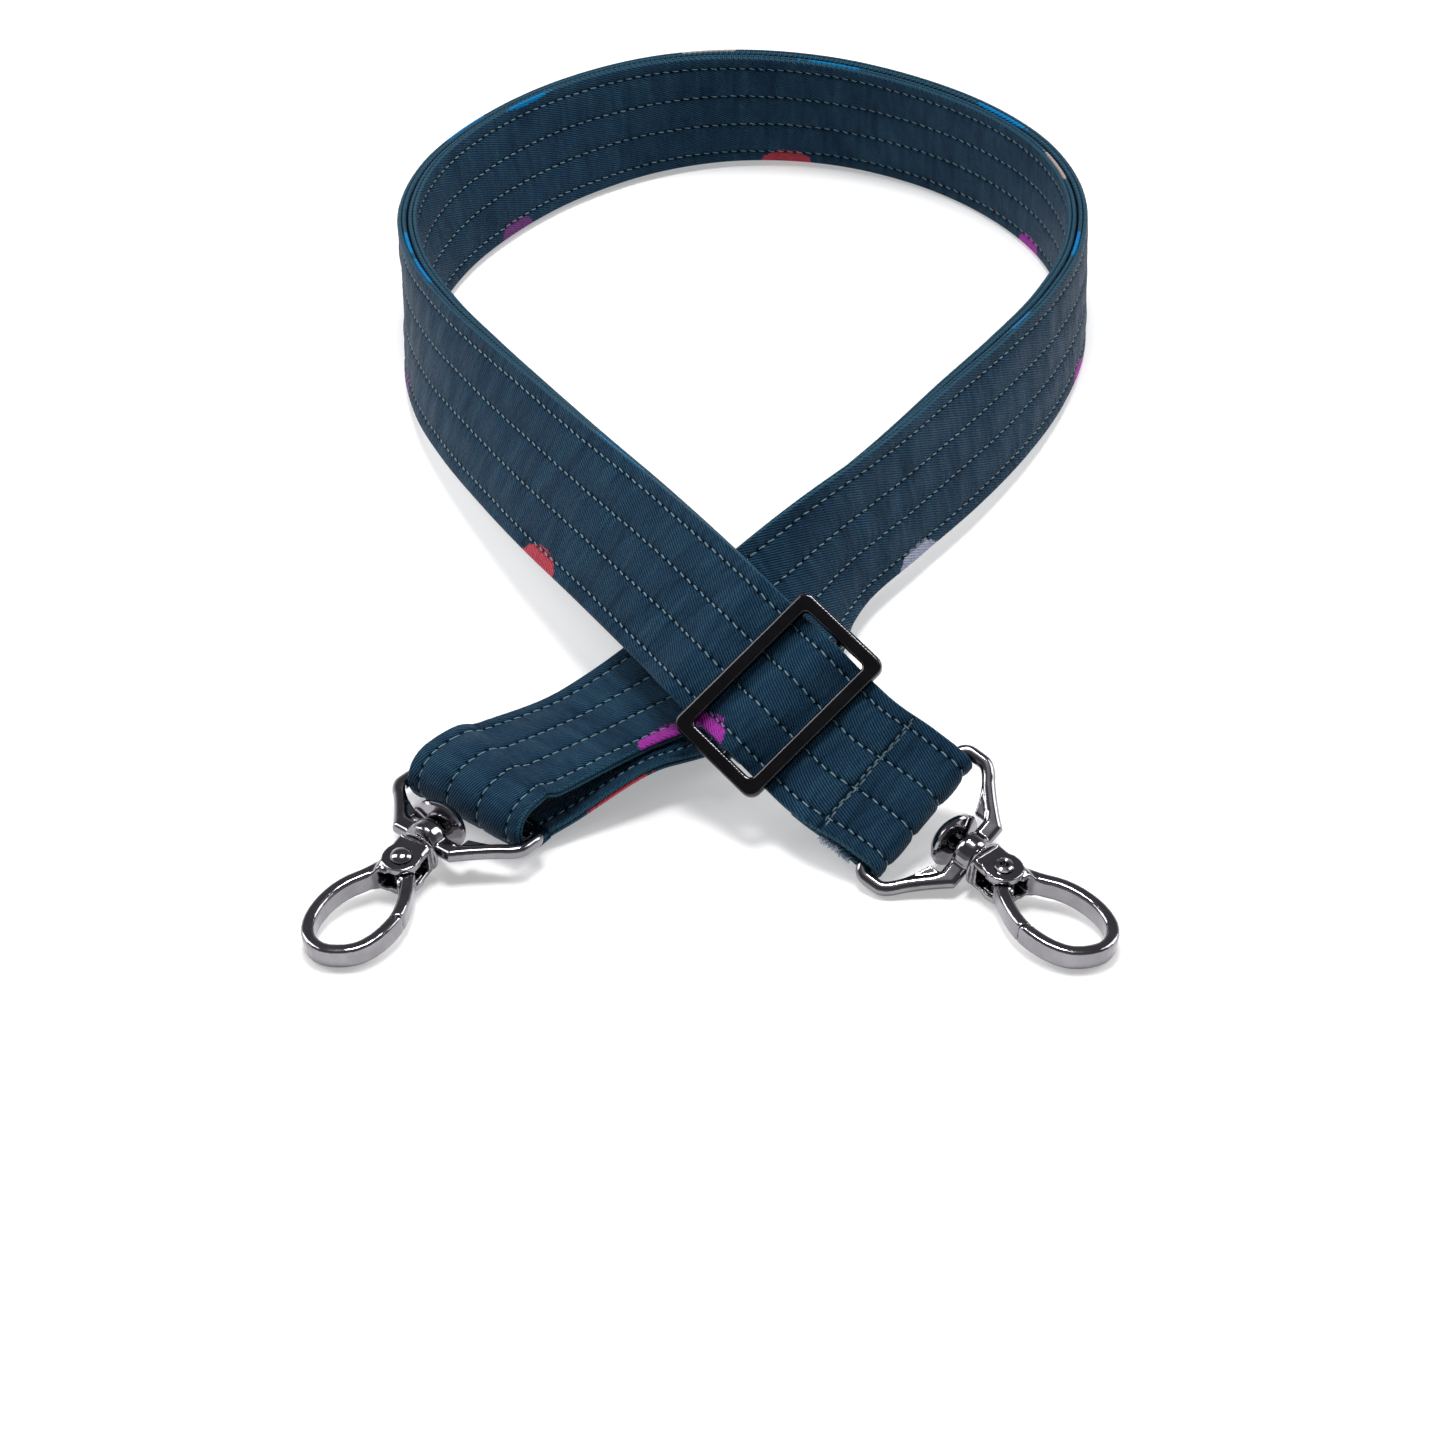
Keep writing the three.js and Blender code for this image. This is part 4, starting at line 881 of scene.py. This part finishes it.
def crossThread(name):
    parts = []
    turns = beadTurns(int(2 * crossCut["ends"] / crossCut["stitch"]))
    for strand, aside in enumerate((-crossCut["back"] / 2, crossCut["back"] / 2)):
        across = -crossCut["ends"] + (turns + crossCut["offset"] * strand) * crossCut["stitch"]
        wander = crossCut["wander"] * np.sin(across / crossCut["wanderSpan"] + strand)
        run = crossCut["run"] + aside + wander
        parts.append(gridMesh(name, threadGrid(run, across, 1, True), {}))
    return addPiece(joinedMesh(name, parts), shadedCrossSewing, "strap", "twill")


lengthwiseThread(1, "outerStitches")
lengthwiseThread(-1, "innerStitches")
crossThread("crossStitches")
print("stitches made")


# the raw end of the sewn tail, frayed at its lower corner

frayCut = {
    "fibres": 260,
    "from": 8,
    "to": 17,
    "length": (0.7, 1.9),
    "radius": 0.21,
    "sides": 5,
    "tip": 0.25,
    "sunk": 0.05,  # share of a fibre that starts inside the cloth
    "edge": 18.7,
    "height": (-1.0, 1.1),
    "sway": (-0.6, 0.5),
    "lean": (-0.3, 0.3),
    "seed": 7,
    "pale": (0.66, 0.7, 0.82),
    "paleShare": 0.7,
    "teal": (0.1, 0.28, 0.4),
    "tealShare": 0.3,
}


def frayedFibres(name, colour, share):
    draw = np.random.default_rng(frayCut["seed"] + int(10 * share))
    radius = frayCut["radius"] * mm
    bm = bmesh.new()
    for _ in range(int(frayCut["fibres"] * share)):
        run = draw.uniform(frayCut["from"], frayCut["to"])
        at = np.interp(run, strapRun, np.arange(len(strapRun)))
        low = int(at)
        height = draw.uniform(*frayCut["height"])
        root = clothPoint(np.array([at]), np.array([-frayCut["edge"]]), np.array([height]))[0]
        sway, lean = draw.uniform(*frayCut["sway"]), draw.uniform(*frayCut["lean"])
        way = unit(-strapAcross[low] + strapWay[low] * sway + strapOut[low] * lean)
        length = draw.uniform(*frayCut["length"])
        turn = Vector(way).to_track_quat("Z", "Y").to_matrix().to_4x4()
        middle = Vector((root + way * length * (0.5 - frayCut["sunk"])) * mm)
        bmesh.ops.create_cone(bm, cap_ends=True, segments=frayCut["sides"], radius1=radius,
                              radius2=frayCut["tip"] * radius, depth=length * mm,
                              matrix=Matrix.Translation(middle) @ turn)
    mesh = bpy.data.meshes.new(name)
    bm.to_mesh(mesh)
    bm.free()
    return addPiece(closeMesh(mesh), threadMaterial(name, colour), "strap", "twill")


frayedFibres("paleFray", frayCut["pale"], frayCut["paleShare"])
frayedFibres("tealFray", frayCut["teal"], frayCut["tealShare"])
print("frayed end made")


# fittings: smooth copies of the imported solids, merged and with their edges eased

metalCut = {
    "hookGunmetal": {"colour": (0.3, 0.29, 0.312), "gloss": 0.05, "waves": 0.14},
    "ringGunmetal": {"colour": (0.26, 0.252, 0.268), "gloss": 0.05, "waves": 0.14},
    "blackNickel": {"colour": (0.052, 0.051, 0.056), "gloss": 0.08, "waves": 0.2},
    "springSteel": {"colour": (0.42, 0.42, 0.44), "gloss": 0.2, "waves": 0.1},
}
platingCut = {
    "cloud": 220,
    "grain": 2600,
    "swell": 130,
    "darker": 0.86,
    "darkerFrom": (0.3, 0.7),
    "haze": 0.06,
    "hazeFrom": (0.25, 0.75),
    "grainHaze": 0.04,
    "waveDepth": 0.0006,
    "grainRelief": 0.1,
    "grainDepth": 0.00003,
}


def gunmetalMaterial(name, cut):
    material, tree, shader = newMaterial(name)
    place = addNode(tree, "ShaderNodeTexCoord").outputs["Object"]
    cloud = noise(tree, place, platingCut["cloud"], 3)
    grain = noise(tree, place, platingCut["grain"], 2)
    swell = noise(tree, place, platingCut["swell"], 1)
    darker = tuple(c * platingCut["darker"] for c in cut["colour"])
    base = mixColour(tree, ramp(tree, cloud, *platingCut["darkerFrom"]), darker, cut["colour"])
    tree.links.new(base, shader.inputs["Base Color"])
    shader.inputs["Metallic"].default_value = 1
    haziest = cut["gloss"] + platingCut["haze"]
    haze = ramp(tree, cloud, *platingCut["hazeFrom"], cut["gloss"], haziest, False)
    haze = maths(tree, "ADD", haze, maths(tree, "MULTIPLY", grain, platingCut["grainHaze"]))
    tree.links.new(haze, shader.inputs["Roughness"])
    # the plating lies in slight waves, and a fine grain lies on them
    waves = bumped(tree, swell, cut["waves"], platingCut["waveDepth"])
    relief = bumped(tree, grain, platingCut["grainRelief"], platingCut["grainDepth"], waves)
    tree.links.new(relief, shader.inputs["Normal"])
    return material


hookGunmetal, ringGunmetal, blackNickel, springSteel = [
    gunmetalMaterial(name, cut) for name, cut in metalCut.items()
]
copyCut = {
    "merge": 0.002,
    "sharp": 32,  # degrees, above which an edge stays sharp
    "ease": 0.5,  # how far one smoothing pass takes a vertex to its neighbours' middle
}
castCut = {
    "slider": {"grain": 0.3, "passes": 4},  # grain: size of the remeshed faces, in millimetres
    "ring": {"grain": 0.25, "passes": 5},
    "hook": {"grain": 0.25, "passes": 5},
    "gate": {"grain": 0.25, "passes": 6},
}


def mergedCopy(node, name):
    bm = bmesh.new()
    bm.from_mesh(frame["nodes"][node].data)
    bmesh.ops.remove_doubles(bm, verts=bm.verts, dist=copyCut["merge"] * mm)
    mesh = bpy.data.meshes.new(name)
    for face in bm.faces:
        face.smooth = True
    sharp = math.radians(copyCut["sharp"])
    for edge in bm.edges:
        edge.smooth = len(edge.link_faces) == 2 and edge.calc_face_angle(0) < sharp
    bm.to_mesh(mesh)
    bm.free()
    return mesh


def turnedCopy(node, name, material, body, slot):
    piece = addPiece(mergedCopy(node, name), material, body, slot, node)
    weighted = piece.modifiers.new("weighted", "WEIGHTED_NORMAL")
    weighted.keep_sharp = True
    return piece


# cast pieces: remeshed finely, then smoothed, so that their edges are round as on the die-cast metal
def castCopy(node, name, material, body, slot, cut):
    rough = bpy.data.objects.new(name + "Rough", mergedCopy(node, name + "Rough"))
    scene.collection.objects.link(rough)
    remesh = rough.modifiers.new("remesh", "REMESH")
    remesh.mode = "VOXEL"
    remesh.voxel_size = cut["grain"] * mm
    evaluated = rough.evaluated_get(bpy.context.evaluated_depsgraph_get())
    mesh = bpy.data.meshes.new_from_object(evaluated)
    mesh.name = name
    bpy.data.objects.remove(rough)
    bm = bmesh.new()
    bm.from_mesh(mesh)
    for _ in range(cut["passes"]):
        bmesh.ops.smooth_vert(bm, verts=bm.verts, factor=copyCut["ease"],
                              use_axis_x=True, use_axis_y=True, use_axis_z=True)
    bmesh.ops.recalc_face_normals(bm, faces=bm.faces)
    for face in bm.faces:
        face.smooth = True
    bm.to_mesh(mesh)
    bm.free()
    return addPiece(mesh, material, body, slot, node)


castCopy("slider_frame", "sliderFrame", blackNickel, "strap", "dark_metal", castCut["slider"])
turnedCopy("slider_centre_bar", "sliderBar", blackNickel, "strap", "dark_metal")
for side in ("right", "left"):
    castCopy(f"{side}_ring", f"{side}Ring", ringGunmetal, f"{side}_ring", "gunmetal", castCut["ring"])
    turnedCopy(f"{side}_swivel_post", f"{side}SwivelPost", hookGunmetal, f"{side}_hook", "gunmetal")
    castCopy(f"{side}_hook_body", f"{side}HookBody", hookGunmetal, f"{side}_hook", "gunmetal",
             castCut["hook"])
    turnedCopy(f"{side}_gate_pin", f"{side}GatePin", hookGunmetal, f"{side}_hook", "gunmetal")
    castCopy(f"{side}_gate", f"{side}Gate", hookGunmetal, f"{side}_gate", "gunmetal", castCut["gate"])
    turnedCopy(f"{side}_gate_spring", f"{side}GateSpring", springSteel, f"{side}_gate", "spring_wire")
print("fittings made")


# floor and light

lightCut = {
    "world": {
        "horizon": 0.1,
        "zenith": 0.55,
        "wallFrom": (-0.5, 0.3),
        "behind": (1, 1, 1),
        "before": (0.36, 0.36, 0.37),
        "above": (0.13, 0.13, 0.14),
        "ceiling": (0.5, 0.5, 0.51),
        "ceilingFrom": 0.93,
    },
    "boxes": [  # name, place, aim, size, power
        ("overheadBox", (-0.03, 0.13, 1.6), (0, -0.05, 0), (0.5, 0.42), 20),
        ("leftBox", (-1.3, 0.3, 1.1), (0, 0, 0), (0.7, 1.3), 15),
        ("rightBox", (1.3, 0.3, 1.1), (0, 0, 0), (0.7, 1.3), 13),
    ],
}


floorCut = {
    "reach": 2.5,  # metres
    "squares": 8,
    "cloud": 3,
    "roughness": 0.75,
    "dull": (0.7, 0.7, 0.705),
    "bright": (0.72, 0.72, 0.72),
    "glow": 0.34,  # light that comes up through the table and softens the shadows
}


def makeFloor(cut):
    bm = bmesh.new()
    bmesh.ops.create_grid(bm, x_segments=cut["squares"], y_segments=cut["squares"], size=cut["reach"])
    mesh = bpy.data.meshes.new("floor")
    bm.to_mesh(mesh)
    bm.free()
    material, tree, shader = newMaterial("paleFloor")
    place = addNode(tree, "ShaderNodeTexCoord").outputs["Object"]
    cloud = noise(tree, place, cut["cloud"], 2)
    tree.links.new(mixColour(tree, cloud, cut["dull"], cut["bright"]), shader.inputs["Base Color"])
    shader.inputs["Roughness"].default_value = cut["roughness"]
    shader.inputs["Emission Color"].default_value = (1, 1, 1, 1)
    shader.inputs["Emission Strength"].default_value = cut["glow"]
    mesh.materials.append(material)
    floor = bpy.data.objects.new("floor", mesh)
    scene.collection.objects.link(floor)


def makeLight(name, place, aim, size, power):
    data = bpy.data.lights.new(name, "AREA")
    data.shape = "RECTANGLE"
    data.size, data.size_y = size
    data.energy = power
    light = bpy.data.objects.new(name, data)
    light.location = place
    light.rotation_euler = (Vector(aim) - Vector(place)).to_track_quat("-Z", "Y").to_euler()
    scene.collection.objects.link(light)


def makeWorld(cut):
    world = bpy.data.worlds.new("studio")
    world.use_nodes = True
    tree = world.node_tree
    way = addNode(tree, "ShaderNodeSeparateXYZ")
    tree.links.new(addNode(tree, "ShaderNodeTexCoord").outputs["Generated"], way.inputs[0])
    rise = ramp(tree, way.outputs[2], cut["horizon"], cut["zenith"])
    wall = mixColour(tree, ramp(tree, way.outputs[1], *cut["wallFrom"]), cut["before"], cut["behind"])
    roof = mixColour(tree, ramp(tree, way.outputs[2], cut["ceilingFrom"], 1), cut["above"], cut["ceiling"])
    tree.links.new(mixColour(tree, rise, wall, roof), tree.nodes["Background"].inputs[0])
    scene.world = world


makeFloor(floorCut)
makeWorld(lightCut["world"])
for light in lightCut["boxes"]:
    makeLight(*light)
print("floor and light made")
